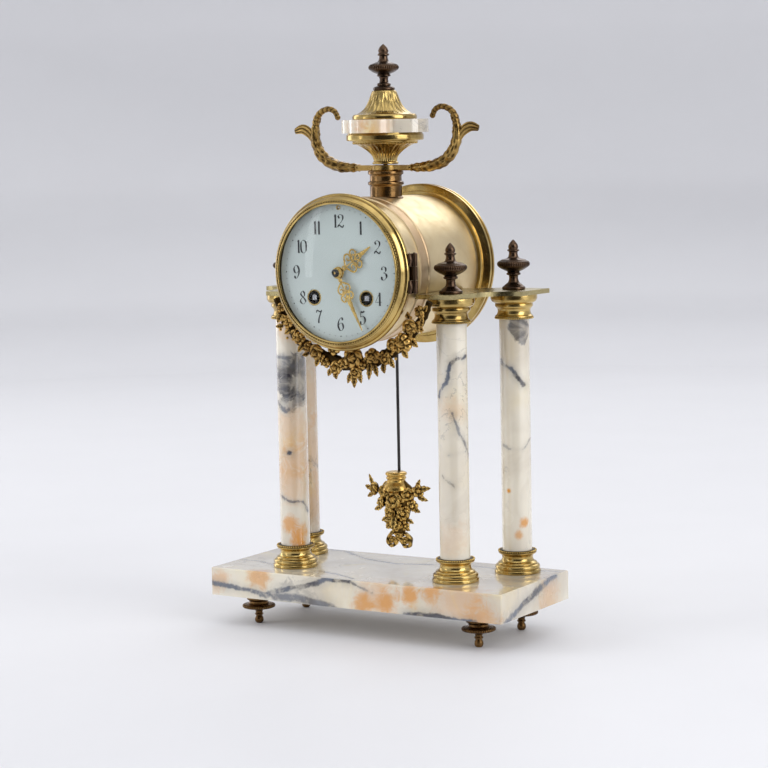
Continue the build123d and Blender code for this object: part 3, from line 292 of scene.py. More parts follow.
def flower(at, out, radius, petals=5, wind=0.0, turn=0.0, flat=0.62, button=0.3):
    """A blossom as a closed cushion. Its radius is scalloped |cos(petals a / 2)|, winding
    with the slope for a rose, and a button stands in the middle."""
    out = unit(out)
    first = unit(np.cross(out, (0.31, 0.17, 0.93)))
    second = np.cross(out, first)
    slope = np.linspace(0, math.pi, 19)[:, None]
    angle = np.linspace(0, TAU, 10 * petals + 1)[None]
    ridge = np.abs(np.cos(0.5 * petals * angle + wind * slope + turn))
    reach = radius * np.sin(slope) * (0.72 + 0.28 * ridge**0.6)
    rise = radius * flat * (np.cos(slope) + 0.22 * ridge * np.sin(slope) ** 2)
    middle_rise = button * radius * np.exp(-((np.sin(slope) / 0.3) ** 2)) * (slope < 1.5)
    ditch = 0.22 * radius * np.exp(-(((np.sin(slope) - 0.45) / 0.12) ** 2)) * (slope < 1.5)
    rise = rise + middle_rise - ditch
    x, y = reach * np.cos(angle), reach * np.sin(angle)
    points = np.asarray(at, float) + x[..., None] * first + y[..., None] * second
    points = points + rise[..., None] * out
    # Dark patina and painted shade between the petals and in the ditch round the button; painted shade
    # on the back (the 0.7 past a slope of 1.8).
    deep = (1 - ridge) ** 1.5 * np.sin(slope) + ditch / (0.22 * radius) * 0.8
    return grid(points, np.clip(deep + 0.7 * (slope > 1.8), 0, 1))


def linked(name, data):
    """A new object in the scene."""
    thing = bpy.data.objects.new(name, data)
    bpy.context.scene.collection.objects.link(thing)
    return thing


def direction(turn, rise):
    """From the clock to a place at a turn from its front and a height angle."""
    flat = math.cos(rise)
    return Vector((math.sin(turn) * flat, -math.cos(turn) * flat, math.sin(rise)))


def make_piece(name, shells, material, body, replaces=(), crease=38):
    """One object from closed shells: seams and poles are merged by place, then the faces
    of each shell are turned outwards and the edges sharper than crease stay sharp."""
    points, quads, cavity = joined(shells)
    mesh = bpy.data.meshes.new(name)
    mesh.from_pydata((points * MM).tolist(), [], quads.tolist())
    mesh.attributes.new("cavity", "FLOAT", "POINT").data.foreach_set("value", cavity)
    work = bmesh.new()
    work.from_mesh(mesh)
    bmesh.ops.remove_doubles(work, verts=work.verts, dist=2e-6)
    bmesh.ops.recalc_face_normals(work, faces=work.faces)
    work.to_mesh(mesh)
    work.free()
    mesh.shade_smooth()
    mesh.set_sharp_from_angle(angle=math.radians(crease))
    mesh.materials.append(material)
    piece = linked(name, mesh)
    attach(piece, body)
    if replaces:
        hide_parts(*replaces)
    return piece


def dress(material, *nodes):
    """Give frame nodes a better material."""
    for node in nodes:
        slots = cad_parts[node].material_slots
        for slot in slots:
            slot.material = material
        if not slots:
            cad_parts[node].data.materials.append(material)


# ---- materials ----
def srgb(red, green, blue):
    """A display colour of 0 to 255 as linear light."""
    value = np.array([red, green, blue]) / 255
    linear = np.where(value < 0.04045, value / 12.92, ((value + 0.055) / 1.055) ** 2.4)
    return tuple(float(part) for part in linear)


class Recipe:
    """A node material in the making."""

    def __init__(self, name):
        self.material = bpy.data.materials.new(name)
        self.material.use_nodes = True
        self.tree = self.material.node_tree
        self.shader = self.tree.nodes["Principled BSDF"]
        self.place = self.add("ShaderNodeTexCoord").outputs["Object"]

    def feed(self, socket, value):
        if isinstance(value, bpy.types.NodeSocket):
            self.tree.links.new(value, socket)
        elif socket.type == "RGBA" and len(value) == 3:
            socket.default_value = (*value, 1.0)
        else:
            socket.default_value = value

    def add(self, kind, sockets=None, **settings):
        node = self.tree.nodes.new(kind)
        for key, value in settings.items():
            setattr(node, key, value)
        for key, value in (sockets or {}).items():
            self.feed(node.inputs[key], value)
        return node

    def finish(self, **sockets):
        for key, value in sockets.items():
            self.feed(self.shader.inputs[key.replace("_", " ")], value)
        return self.material

    def math(self, operation, first, second=0.0, third=0.0):
        sockets = {0: first, 1: second, 2: third}
        return self.add("ShaderNodeMath", sockets, operation=operation).outputs[0]

    def times(self, first, second):
        return self.math("MULTIPLY", first, second)

    def vector(self, operation, *values):
        return self.add("ShaderNodeVectorMath", dict(enumerate(values)), operation=operation)

    def ease(self, value, low, high, start=0.0, end=1.0):
        """Value from low to high becomes start to end, smoothly."""
        sockets = {0: value, 1: low, 2: high, 3: start, 4: end}
        node = self.add("ShaderNodeMapRange", sockets, interpolation_type="SMOOTHSTEP")
        return node.outputs[0]

    def mix(self, factor, first, second, blend="MIX"):
        sockets = {0: factor, 6: first, 7: second}
        node = self.add("ShaderNodeMix", sockets, data_type="RGBA", blend_type=blend)
        return node.outputs[2]

    def stretch(self, scale, turn=(0.0, 0.0, 0.0), shift=(0.0, 0.0, 0.0)):
        """Object coordinates, shifted, turned and scaled."""
        sockets = {"Vector": self.place, "Scale": scale, "Rotation": turn, "Location": shift}
        return self.add("ShaderNodeMapping", sockets).outputs[0]

    def noise(self, scale, detail=3.0, rough=0.5, warp=0.0, place=None):
        sockets = {
            "Vector": place or self.place,
            "Scale": scale,
            "Detail": detail,
            "Roughness": rough,
            "Distortion": warp,
        }
        return self.add("ShaderNodeTexNoise", sockets).outputs["Fac"]

    def axes(self, place=None):
        return self.add("ShaderNodeSeparateXYZ", {0: place or self.place}).outputs

    def lathe(self, x, y, z):
        """Coordinates in which noise runs in rings about the drum's axis."""
        up = self.math("SUBTRACT", z, AXIS_Z * MM)
        ring = self.math("SQRT", self.math("ADD", self.times(x, x), self.times(up, up)))
        return self.add("ShaderNodeCombineXYZ", {0: ring, 1: y, 2: 0.0}).outputs[0]

    def bump(self, height, distance):
        sockets = {"Height": height, "Distance": distance, "Strength": 1.0}
        return self.add("ShaderNodeBump", sockets).outputs[0]

    def cavity(self):
        return self.add("ShaderNodeAttribute", attribute_name="cavity").outputs["Fac"]


def metal(name, bright, dull, dirt, rough, tarnish=0.45, grain=None, pits=0.00002):
    """Metal whose colour drifts from bright to dull, with dark specks of tarnish, dark patina and
    painted shade in its recesses and wherever the cavity attribute is high, smears in its roughness,
    and a grain: brushed, turned about the drum's axis, or cast."""
    make = Recipe(name)
    clouds = make.ease(make.noise(38.0, 5.0, 0.6, 0.4), 0.38, 0.68)
    specks = make.ease(make.noise(420.0, 4.0, 0.7), 0.56, 0.74)
    worn = make.times(clouds, tarnish)
    colour = make.mix(worn, bright, dull)
    colour = make.mix(make.times(specks, 0.35 * tarnish), colour, dirt)
    # Dark patina and painted shade: the cavity attribute mixes the colour towards the dark recess
    # colour.
    recess = make.ease(make.cavity(), 0.12, 0.85)
    colour = make.mix(make.times(recess, 0.94), colour, dirt)
    smears = make.ease(make.noise(90.0, 4.0, 0.65, 1.2), 0.3, 0.75, rough * 0.75, rough * 1.45)
    roughness = make.math("ADD", smears, make.times(recess, 0.25))
    if grain == "turned":
        height = make.noise(2600.0, 2.0, 0.6, 0.0, make.lathe(*make.axes()))
    elif grain == "brushed":
        height = make.noise(900.0, 3.0, 0.6, 0.0, make.stretch((0.05, 2.2, 2.2)))
    elif grain == "cast":
        height = make.noise(700.0, 5.0, 0.7, 0.3)
    else:
        height = make.noise(1500.0, 4.0, 0.6)
    return make.finish(
        Base_Color=colour, Metallic=1.0, Roughness=roughness, Normal=make.bump(height, pits)
    )


def seam(make, place, start, end, width):
    """A line between two places: 1 within the width, with a faint halo round it. At the
    share t of the way where a point is nearest, its distance from the line is read."""
    start, end = np.array(start) * MM, np.array(end) * MM
    way = end - start

    offset = make.vector("SUBTRACT", place, tuple(start)).outputs[0]
    share = make.vector("DOT_PRODUCT", offset, tuple(way / (way @ way))).outputs["Value"]
    share = make.add("ShaderNodeClamp", {0: share}).outputs[0]
    nearest = make.vector("MULTIPLY_ADD", tuple(way), share, tuple(start)).outputs[0]
    away = make.vector("DISTANCE", place, nearest).outputs["Value"]
    line = make.ease(away, 0.5 * width * MM, 1.8 * width * MM, 1.0, 0.0)
    halo = make.ease(away, 0.0, 4.5 * width * MM, 0.3, 0.0)
    return make.math("MAXIMUM", line, halo)


def nearness(make, centre, radius, edge=0.35):
    """1 within a radius of a place, fading out over the edge share of it."""
    away = make.vector("DISTANCE", make.place, tuple(c * MM for c in centre)).outputs["Value"]
    blur = make.math("MULTIPLY_ADD", make.noise(110.0, 6.0, 0.68, 0.9), radius * MM * 1.7, away)
    offset = radius * MM * 0.85
    return make.ease(blur, radius * MM * (1 - edge) + offset, radius * MM + offset, 1.0, 0.0)


def marble(name, stone, veins=(), patches=(), stains=(), warm=0.35, seed=0.0):
    """Cream marble. A soft blush and grey clouds come from wide noise, fine veins from
    where warped noise crosses its middle, and named veins, dark patches and orange stains
    stand where the piece has them.
    veins: (route, width, strength)
    patches and stains: (centre, radius, strength)"""
    make = Recipe(name)
    shifted = make.stretch((1.0, 1.0, 1.0), shift=(seed, 0.7 * seed, 1.3 * seed))
    clouds = make.noise(16.0, 4.0, 0.55, 0.8, shifted)
    colour = make.mix(make.ease(clouds, 0.36, 0.66), stone.ground, stone.shade)
    blush = make.noise(13.0, 5.0, 0.6, 1.6, make.stretch((1.0, 1.0, 0.7), shift=(2 + seed, 5, 1)))
    colour = make.mix(make.ease(blush, 0.5, 0.72, 0.0, warm), colour, stone.blush)
    thin = make.math("SUBTRACT", make.noise(21.0, 7.0, 0.6, 2.2, shifted), 0.5)
    thin = make.math("ABSOLUTE", thin)
    thin = make.ease(thin, 0.0, 0.016, 1.0, 0.0)
    elsewhere = make.stretch((1, 1, 1), shift=(7 + seed, 2, 9))
    where = make.ease(make.noise(15.0, 2.0, 0.5, 0.0, elsewhere), 0.5, 0.64)
    dark = make.times(make.times(thin, where), stone.vein_strength)
    drift = {"Vector": make.place, "Scale": 75.0, "Detail": 7.0, "Roughness": 0.66}
    drift = make.add("ShaderNodeTexNoise", drift).outputs["Color"]
    drift = make.vector("ADD", drift, (-0.5, -0.5, -0.5)).outputs[0]
    swayed = make.vector("MULTIPLY_ADD", drift, (0.007, 0.007, 0.007), make.place).outputs[0]
    thickness = make.ease(make.noise(120.0, 5.0, 0.65), 0.3, 0.52, 0.5, 1.0)
    for route, width, strength in veins:
        for start, end in zip(route, route[1:]):
            line = make.times(seam(make, swayed, start, end, width), thickness)
            dark = make.math("MAXIMUM", dark, make.times(line, strength))
    for centre, radius, strength in patches:
        cloud = make.times(nearness(make, centre, radius), strength)
        mottle = make.ease(make.noise(80.0, 6.0, 0.62, 0.7), 0.34, 0.6, 0.45, 1.0)
        dark = make.math("MAXIMUM", dark, make.times(cloud, mottle))
    for centre, radius, strength in stains:
        stain = make.times(nearness(make, centre, radius, 0.8), strength)
        colour = make.mix(stain, colour, stone.orange)
    tint = make.mix(make.ease(make.noise(60.0, 3.0), 0.4, 0.6), stone.vein, stone.vein_blue)
    colour = make.mix(dark, colour, tint)
    rough = make.ease(make.noise(45.0, 4.0), 0.3, 0.7, stone.gloss * 0.8, stone.gloss * 1.3)
    make.finish(Subsurface_Weight=0.12, Subsurface_Radius=(1.0, 0.88, 0.72))
    make.finish(Subsurface_Scale=0.002, Coat_Weight=1.0, Coat_IOR=1.6, Coat_Roughness=0.06)
    height = make.noise(260.0, 3.0, 0.5)
    return make.finish(Base_Color=colour, Roughness=rough, Normal=make.bump(height, 0.000008))


# ---- settings ----
def colour_setting(name, description, default):
    return bpy.props.FloatVectorProperty(
        name=name, description=description, default=default, subtype="COLOR", size=3, min=0.0,
        max=1.0
    )


def share_setting(name, description, default):
    return bpy.props.FloatProperty(
        name=name, description=description, default=default, min=0, max=1
    )


def count_setting(name, description, default, low, high):
    return bpy.props.IntProperty(
        name=name, description=description, default=default, min=low, max=high
    )


def angle_setting(name, description, degrees):
    return bpy.props.FloatProperty(
        name=name, description=description, default=math.radians(degrees), subtype="ANGLE"
    )


def length_setting(name, description, default):
    return bpy.props.FloatProperty(
        name=name, description=description + ", in millimetres", default=default, min=0.01
    )


class ClockStone(bpy.types.PropertyGroup):
    """Colours of the marble."""

    ground: colour_setting("Ground", "Lightest colour of the marble", srgb(228, 221, 204))
    shade: colour_setting("Shade", "Greyer clouds in the marble", srgb(206, 196, 178))
    blush: colour_setting("Blush", "Peach clouds in the marble", srgb(238, 214, 142))
    orange: colour_setting("Orange", "Iron stains", srgb(212, 144, 44))
    vein: colour_setting("Vein", "Dark veins", srgb(52, 50, 56))
    vein_blue: colour_setting("Blue Vein", "Slate-coloured veins", srgb(92, 98, 110))
    vein_strength: share_setting("Fine Veins", "How strongly the fine veins show", 0.4)
    gloss: share_setting("Roughness", "Roughness of the polished stone", 0.22)


class ClockMetal(bpy.types.PropertyGroup):
    """Colours of the metals."""

    gilt: colour_setting("Gilt", "Gilded brass", srgb(206, 178, 112))
    gilt_dull: colour_setting("Dull Gilt", "Tarnished gilding", srgb(128, 104, 58))
    drum: colour_setting("Drum", "Pale brass of the drum", srgb(230, 211, 170))
    drum_band: colour_setting("Drum Band", "Pinkish patina on the drum", srgb(204, 172, 136))
    cast: colour_setting("Casting", "Cast and gilded ornament", srgb(184, 152, 90))
    bronze: colour_setting("Bronze", "Brown bronze of finials and feet", srgb(98, 78, 62))
    copper: colour_setting("Copper", "Coppery brass of the urn's collar", srgb(158, 122, 76))
    dirt: colour_setting("Dirt", "Dark patina in the recesses", srgb(44, 26, 10))
    # This dark colour is the patina and the specks, and also the painted shade in recesses, on
    # undersides and on parts further back.
    steel: colour_setting("Steel", "Dark steel of rod and arbors", srgb(74, 72, 72))
    enamel: colour_setting("Enamel", "Pale blue-grey enamel of the dial", srgb(196, 206, 204))
    ink: colour_setting("Numerals", "Fired black of the numerals", srgb(24, 25, 30))


class ClockOrnament(bpy.types.PropertyGroup):
    """Sizes and counts of the ornament."""

    pearls: count_setting("Pearls", "Pearls round each column base", 52, 12, 90)
    pearl: length_setting("Pearl Radius", "Radius of one pearl", 0.66)
    gadroons: count_setting("Gadroons", "Lobes round the finials' bowls", 44, 8, 60)
    flutes: count_setting("Flutes", "Flutes round the urn's bowl", 28, 8, 60)
    numeral: length_setting("Numeral Height", "Height of the dial's numerals", 8.3)
    numeral_ring: length_setting("Numeral Circle", "Radius of the circle of numerals", 32.5)
    rope: count_setting("Rope Turns", "Strands round the bezel's rope ring", 150, 40, 240)


class ClockStage(bpy.types.PropertyGroup):
    """Camera, lights and floor."""

    azimuth: angle_setting("Azimuth", "Camera's turn round the clock", 31.57)
    elevation: angle_setting("Elevation", "Camera's height angle", 6.186)
    roll: angle_setting("Roll", "Camera's tilt", 1.152)
    distance: bpy.props.FloatProperty(
        name="Distance", description="Camera to the middle of the clock", default=1.54316,
        unit="LENGTH"
    )
    aim_height: bpy.props.FloatProperty(
        name="Aim", description="Height the camera looks at", default=0.16082, unit="LENGTH"
    )
    lens: bpy.props.FloatProperty(
        name="Lens", description="Focal length", default=110.76, min=20, unit="CAMERA"
    )
    floor: colour_setting("Floor", "Pale floor and wall", srgb(226, 226, 229))
    key: bpy.props.FloatProperty(
        name="Key Light", description="Power of the main light", default=21.0, unit="POWER"
    )


# ---- operators ----
class CLOCK_OT_stage(bpy.types.Operator):
    """Set the camera, the lights and a pale floor that sweeps up into a wall"""

    bl_idname = "clock.stage"
    bl_label = "Stage"

    def execute(self, context):
        stage = context.scene.clock_stage
        scene = context.scene
        back = direction(stage.azimuth, stage.elevation)
        data = bpy.data.cameras.new("camera")
        data.lens = stage.lens
        data.clip_start, data.clip_end = 0.05, 20.0
        camera = linked("camera", data)
        camera.location = Vector((0.0, 0.0, stage.aim_height)) + back * stage.distance
        camera.rotation_mode = "QUATERNION"
        facing = (-back).to_track_quat("-Z", "Y")
        camera.rotation_quaternion = facing @ Quaternion((0, 0, 1), -stage.roll)
        scene.camera = camera

        self.floor(stage)
        self.card(stage)
        target = Vector((0.0, 0.0, 0.17))
        # name, azimuth, elevation, distance, size, share of the key's power, seen in metal
        lamps = (
            ("key", 84.0, 24.0, 1.9, (1.1, 1.5), 0.78, True),
            ("top", 60.0, 80.0, 1.9, (1.8, 1.8), 0.34, True),
            ("left", -46.0, 14.0, 2.0, (0.18, 1.5), 0.12, True),
            ("fill", -56.0, 22.0, 2.0, (1.2, 1.2), 0.72, False),
            ("side", -100.0, 12.0, 1.9, (0.7, 1.5), 0.3, True),
            ("rear", 190.0, 34.0, 2.0, (1.6, 0.9), 0.4, True),
        )
        for name, azimuth, elevation, away, size, share, mirrored in lamps:
            self.lamp(name, azimuth, elevation, away, size, share * stage.key, mirrored, target)
        world = bpy.data.worlds.new("studio")
        world.use_nodes = True
        light = world.node_tree.nodes["Background"].inputs
        light["Color"].default_value = (0.8, 0.81, 0.84, 1.0)
        light["Strength"].default_value = 0.72
        scene.world = world
        scene.view_settings.view_transform = "Standard"
        return {"FINISHED"}

    def lamp(self, name, azimuth, elevation, away, size, power, mirrored, target):
        """A soft light on a sphere round the clock, aimed at its middle, seen in the metal
        and glass if mirrored."""
        way = direction(math.radians(azimuth), math.radians(elevation))
        data = bpy.data.lights.new(name, "AREA")
        data.shape = "RECTANGLE"
        data.size, data.size_y = size
        data.energy = power
        lamp = linked(name, data)
        lamp.location = target + way * away
        lamp.rotation_mode = "QUATERNION"
        lamp.rotation_quaternion = (-way).to_track_quat("-Z", "Y")
        lamp.visible_camera = False
        lamp.visible_glossy = mirrored
        lamp.visible_transmission = mirrored

    def floor(self, stage):
        """A disc turned up at its rim: a profile of (radius, height) turned about Z."""
        profile = [(0.0, 0.0, 0), (2600.0, 0.0, 900), (3400.0, 2600.0, 0), (3400.0, 2700.0, 0)]
        points, quads, _ = turned(profile, (0.0, 0.0), steps=128, gap=120.0)
        mesh = bpy.data.meshes.new("floor")
        mesh.from_pydata((points * MM).tolist(), [], quads[:, ::-1].tolist())
        mesh.shade_smooth()
        floor = linked("floor", mesh)
        make = Recipe("floor")
        paper = make.ease(make.noise(9.0, 4.0), 0.3, 0.7)
        pale = tuple(stage.floor)
        colour = make.mix(make.times(paper, 0.3), pale, tuple(0.96 * part for part in pale))
        height = make.noise(900.0, 2.0)
        mesh.materials.append(
            make.finish(Base_Color=colour, Roughness=0.6, Normal=make.bump(height, 0.00002))
        )

    def card(self, stage):
        """A dark card on the camera's side that only polished surfaces see, as they see a
        dim room behind a camera: it widens with its distance and turns up at its far end."""
        away = np.array([0.45, 0.9, 1.6, 2.3, 2.5])
        height = np.array([0.004, 0.01, 0.05, 0.4, 2.2])
        wide = np.outer((away - 0.38) / 0.95, (-1, 1))
        sine, cosine = math.sin(stage.azimuth), math.cos(stage.azimuth)
        points = np.stack(
            [
                away[:, None] * sine + wide * cosine,
                -away[:, None] * cosine + wide * sine,
                np.repeat(height[:, None], 2, axis=1),
            ],
            axis=-1,
        )
        points, quads, _ = grid(points)
        mesh = bpy.data.meshes.new("card")
        mesh.from_pydata(points.tolist(), [], quads.tolist())
        make = Recipe("card")
        cloth = make.mix(make.noise(20.0), srgb(54, 50, 46), srgb(46, 43, 40))
        mesh.materials.append(make.finish(Base_Color=cloth, Roughness=0.8))
        card = linked("card", mesh)
        card.visible_camera = False
        card.visible_diffuse = False
        card.visible_transmission = False
        card.visible_shadow = False


class CLOCK_OT_marble(bpy.types.Operator):
    """Give the slab, the four shafts and the urn's lobed disc their marble"""

    bl_idname = "clock.marble"
    bl_label = "Marble"

    def execute(self, context):
        stone = context.scene.clock_stone
        front = low_high("base_slab")[0][1]
        side, top = low_high("base_slab")[1][0], SLAB_TOP

        def along(plane, *route):
            """A vein's route on the slab's front, top or right side."""
            if plane == "front":
                return [(a, front, b) for a, b in route]
            if plane == "top":
                return [(a, b, top) for a, b in route]
            return [(side, a, b) for a, b in route]

        slab_veins = (
            (along("front", (-111, 29), (-99, 27), (-81, 25), (-59, 24)), 1.5, 1.0),
            (along("front", (-59, 24), (-28, 22), (-14, 19)), 2.6, 0.9),
            (along("front", (-71, 24), (-53, 28), (-33, 32), (-20, 37), (-1, 38)), 1.5, 1.0),
            (along("front", (-1, 38), (16, 32)), 0.8, 0.8),
            (along("front", (40, 20), (66, 21), (92, 19.5)), 1.6, 1.0),
            (along("top", (-80, 44), (-60, 43), (-37, 27), (-5, 17), (19, 25)), 1.5, 0.8),
            (along("top", (-110, -13), (-91, -14), (-74, -22)), 1.0, 0.6),
            (along("top", (-36, -27), (-22, -30), (-2, -40)), 1.1, 0.8),
            (along("top", (48, 32), (78, 30), (104, 39)), 1.2, 0.6),
            (along("side", (-40, 20), (-19, 27), (2, 33), (28, 39)), 2.0, 1.0),
        )
        slab_patches = (
            ((-48, front, 24), 12, 0.45),
            ((-32, front, 22), 9, 0.4),
        )
        slab_stains = (
            ((-72, front, 35.5), 13, 0.7),
            ((10, front, 23), 11, 0.8),
            ((26, front, 27), 11, 0.85),
            ((44, front, 33), 10, 0.9),
            ((60, front, 37), 10, 0.8),
            ((80, front, 32), 26, 0.4),
            ((96, front, 24), 16, 0.6),
            ((20, front, 28), 22, 0.4),
            ((110, 18, 26), 20, 0.4),
            ((-104, front, 30), 12, 0.5),
        )
        dress(
            marble("slab_marble", stone, slab_veins, slab_patches, slab_stains, 0.4),
            "base_slab",
        )
        view = context.scene.clock_stage.azimuth
        right = np.array([math.cos(view), math.sin(view)])
        toward = np.array([math.sin(view), -math.cos(view)])
        shaft_low, shaft_high = low_high("column_shaft_front_left")
        radius = (shaft_high - shaft_low)[0] / 2
        for place, centre in COLUMNS.items():

            def face(*route):
                """Places on the shaft's shown side, from (mm right of its middle, height)."""
                places = []
                for across, height in route:
                    deep = math.sqrt(max(radius**2 - across**2, 0))
                    places.append((*(centre + right * across + toward * deep), height))
                return places

            def spots(*marks):
                """The same for round marks of (across, height, size, strength)."""
                return tuple((face((x, z))[0], size, share) for x, z, size, share in marks)

            veins, patches, stains, warm, seed = (), (), (), 0.3, 1.0
            if place == "front_left":
                veins = (
                    (face((-9, 179), (-3, 178), (8, 179)), 1.6, 0.9),
                    (face((-9, 149), (-4, 143), (8, 151)), 1.2, 0.9),
                    (face((-8.4, 87), (-1, 83), (6, 81.5), (9, 75)), 0.8, 0.8),
                    (face((-2.7, 115.5), (-2.2, 115.3)), 1.6, 1.0),
                )
                patches = spots(
                    (-4, 171, 12, 0.9), (5, 172, 12, 0.8), (-3, 160, 12, 1.0), (5, 161, 12, 0.85),
                    (-4, 149, 8, 0.7),
                    (5, 153, 8, 0.7),
                )
                stains = spots(
                    (0, 131, 22, 0.35), (2, 112, 20, 0.4), (0, 96, 20, 0.35), (-3, 68, 9, 0.8),
                    (4, 62, 9, 0.9),
                    (3, 56, 8, 1.0), (0, 200, 16, 0.35),
                )
                warm, seed = 0.6, 4.0
            if place == "front_right":
                veins = (
                    (face((8.3, 183), (2.8, 182), (-1, 178.5), (-4.2, 166.5), (-9, 157)), 1.2, 1.0),
                    (face((-0.5, 147), (2.8, 135), (7.5, 128.5), (9.5, 118)), 1.0, 0.75),
                    (face((-3.5, 120.5), (7.5, 123.5)), 0.7, 0.5),
                    (face((-7.5, 107), (-0.5, 101)), 0.7, 0.45),
                )
                stains = spots((0, 150, 12, 0.25), (-2, 66, 16, 0.2))
                warm, seed = 0.2, 2.0
            if place == "back_right":
                veins = (
                    (face((-9.2, 176), (-3.7, 172), (4.4, 162)), 1.4, 0.95),
                    (face((-8.6, 123), (-5, 120), (4.4, 120), (9, 126)), 0.8, 0.5),
                )
                patches = spots((3, 198, 9, 0.85), (5, 191, 5, 0.7))
                stains = spots((-5.4, 92.7, 2.4, 1.0), (4.4, 72, 4.4, 0.9), (0.5, 64, 4, 0.7))
                warm, seed = 0.15, 6.0
            if place == "back_left":
                veins = ((face((4, 104), (9, 99)), 0.8, 0.6),)
                stains = spots((6, 150, 30, 0.3), (6, 110, 34, 0.35), (6, 75, 26, 0.35))
                warm, seed = 0.5, 8.0
            dress(
                marble("shaft_marble_" + place, stone, veins, patches, stains, warm, seed),
                "column_shaft_" + place,
            )
        level = (DISC_LOW + DISC_HIGH) / 2
        rim = low_high("urn_marble_disc")[0][1]
        stains = (
            ((0, rim + 4, level), 11, 0.6),
            ((12, rim + 6, level), 12, 0.35),
            ((-16, rim + 12, level), 9, 0.3),
        )
        dress(marble("disc_marble", stone, (), (), stains, 0.7, 9.0), "urn_marble_disc")
        return {"FINISHED"}


def metals(tones):
    """What metal() takes for each finish: a name, bright, dull, the dark colour of patina, specks and
    painted shade, roughness and tarnish, and for some the grain and its depth."""
    dirt = tuple(tones.dirt)
    gilt, dull = tuple(tones.gilt), tuple(tones.gilt_dull)
    cast, bronze = tuple(tones.cast), tuple(tones.bronze)
    copper, steel = tuple(tones.copper), tuple(tones.steel)
    fine, coarse = 0.00001, 0.00006
    return {
        "gilt": ("gilt_brass", gilt, dull, dirt, 0.2, 0.8),
        "gilt_turned": ("gilt_turned", gilt, dull, dirt, 0.2, 0.7, "turned", 0.000004),
        "hands": (
            "gilt_hands", srgb(222, 190, 116), srgb(150, 116, 56), srgb(96, 64, 22), 0.24, 0.5
        ),
        "cast": ("cast_gilt", cast, srgb(110, 82, 42), dirt, 0.28, 0.8, "cast", coarse),
        "garland": (
            "garland_gilt", srgb(216, 176, 102), srgb(128, 92, 44), srgb(28, 16, 7), 0.27, 0.7,
            "cast", coarse,
        ),
        "bob": (
            "bob_gilt", srgb(226, 190, 112), srgb(156, 120, 58), srgb(40, 26, 10), 0.25, 0.6,
            "cast", 0.00005,
        ),
        "bronze": ("brown_bronze", bronze, srgb(56, 43, 34), dirt, 0.3, 0.9),
        "feet": ("foot_bronze", srgb(128, 98, 60), srgb(74, 52, 32), dirt, 0.28, 0.8),
        "copper": ("copper_brass", copper, srgb(80, 58, 34), dirt, 0.2, 0.9),
        "plate": (
            "plate_brass", srgb(190, 176, 130), srgb(146, 130, 88), dirt, 0.26, 0.7,
            "brushed", fine,
        ),
        "movement": (
            "movement_brass", srgb(222, 186, 112), srgb(180, 140, 74), dirt, 0.26, 0.4,
            "brushed", fine,
        ),
        "steel": ("dark_steel", steel, srgb(46, 44, 46), srgb(20, 18, 18), 0.34, 0.6),
        "bright_steel": (
            "arbor_steel", srgb(186, 186, 188), srgb(120, 120, 124), dirt, 0.25, 0.4
        ),
        "bell": (
            "bell_metal", srgb(208, 184, 136), srgb(160, 130, 84), dirt, 0.28, 0.5,
            "turned", fine,
        ),
    }


class Finishes:
    """The finishes, each made once."""

    made = {}

    @classmethod
    def get(cls, name):
        if name not in cls.made:
            table = metals(bpy.context.scene.clock_metal)
            cls.made[name] = metal(*table[name]) if name in table else OTHER_FINISHES[name]()
        return cls.made[name]


def drum_brass():
    """Pale brass turned on the drum's axis, its ribbed band rubbed down to a pinkish patina."""
    tones = bpy.context.scene.clock_metal
    make = Recipe("drum_brass")
    band_middle, band_half, knuckle_side = -0.0222, 0.0048, 0.0472
    x, y, z = make.axes()
    clouds = make.ease(make.noise(30.0, 6.0, 0.65, 0.6), 0.36, 0.7)
    colour = make.mix(make.times(clouds, 0.5), tuple(tones.drum), srgb(212, 186, 138))
    away = make.math("ABSOLUTE", make.math("ADD", y, -band_middle))
    band = make.ease(away, band_half, band_half + 0.0027, 1.0, 0.0)
    rubbed = make.times(band, make.ease(make.noise(60.0, 5.0, 0.6, 0.5), 0.3, 0.6, 0.25, 0.75))
    colour = make.mix(rubbed, colour, tuple(tones.drum_band))
    knuckle = make.ease(x, knuckle_side, knuckle_side + 0.0006)
    colour = make.mix(knuckle, colour, tuple(0.6 * part for part in tones.bronze))
    height = make.noise(1800.0, 3.0, 0.7, 0.0, make.lathe(x, y, z))
    rough = make.ease(make.noise(70.0, 5.0, 0.6, 1.0), 0.3, 0.75, 0.34, 0.52)
    return make.finish(
        Base_Color=colour, Metallic=1.0, Roughness=rough, Normal=make.bump(height, 0.000012)
    )


def enamel():
    """Glossy enamel, a little uneven and very slightly crazed."""
    make = Recipe("dial_enamel")
    base = tuple(bpy.context.scene.clock_metal.enamel)
    drift = make.ease(make.noise(24.0, 4.0, 0.5), 0.35, 0.7)
    colour = make.mix(make.times(drift, 0.35), base, tuple(0.9 * part for part in base))
    height = make.noise(70.0, 3.0, 0.5)
    make.finish(Coat_Weight=0.6, Coat_Roughness=0.05)
    rough = make.ease(make.noise(50.0, 3.0), 0.3, 0.7, 0.16, 0.26)
    return make.finish(Base_Color=colour, Roughness=rough, Normal=make.bump(height, 0.00004))


def ink():
    """Fired black, thinner in places."""
    make = Recipe("numeral_black")
    base = tuple(bpy.context.scene.clock_metal.ink)
    thin = make.ease(make.noise(300.0, 4.0, 0.6), 0.45, 0.75, 0.0, 0.3)
    colour = make.mix(thin, base, srgb(90, 94, 98))
    return make.finish(Base_Color=colour, Roughness=make.ease(thin, 0.0, 0.3, 0.3, 0.45))


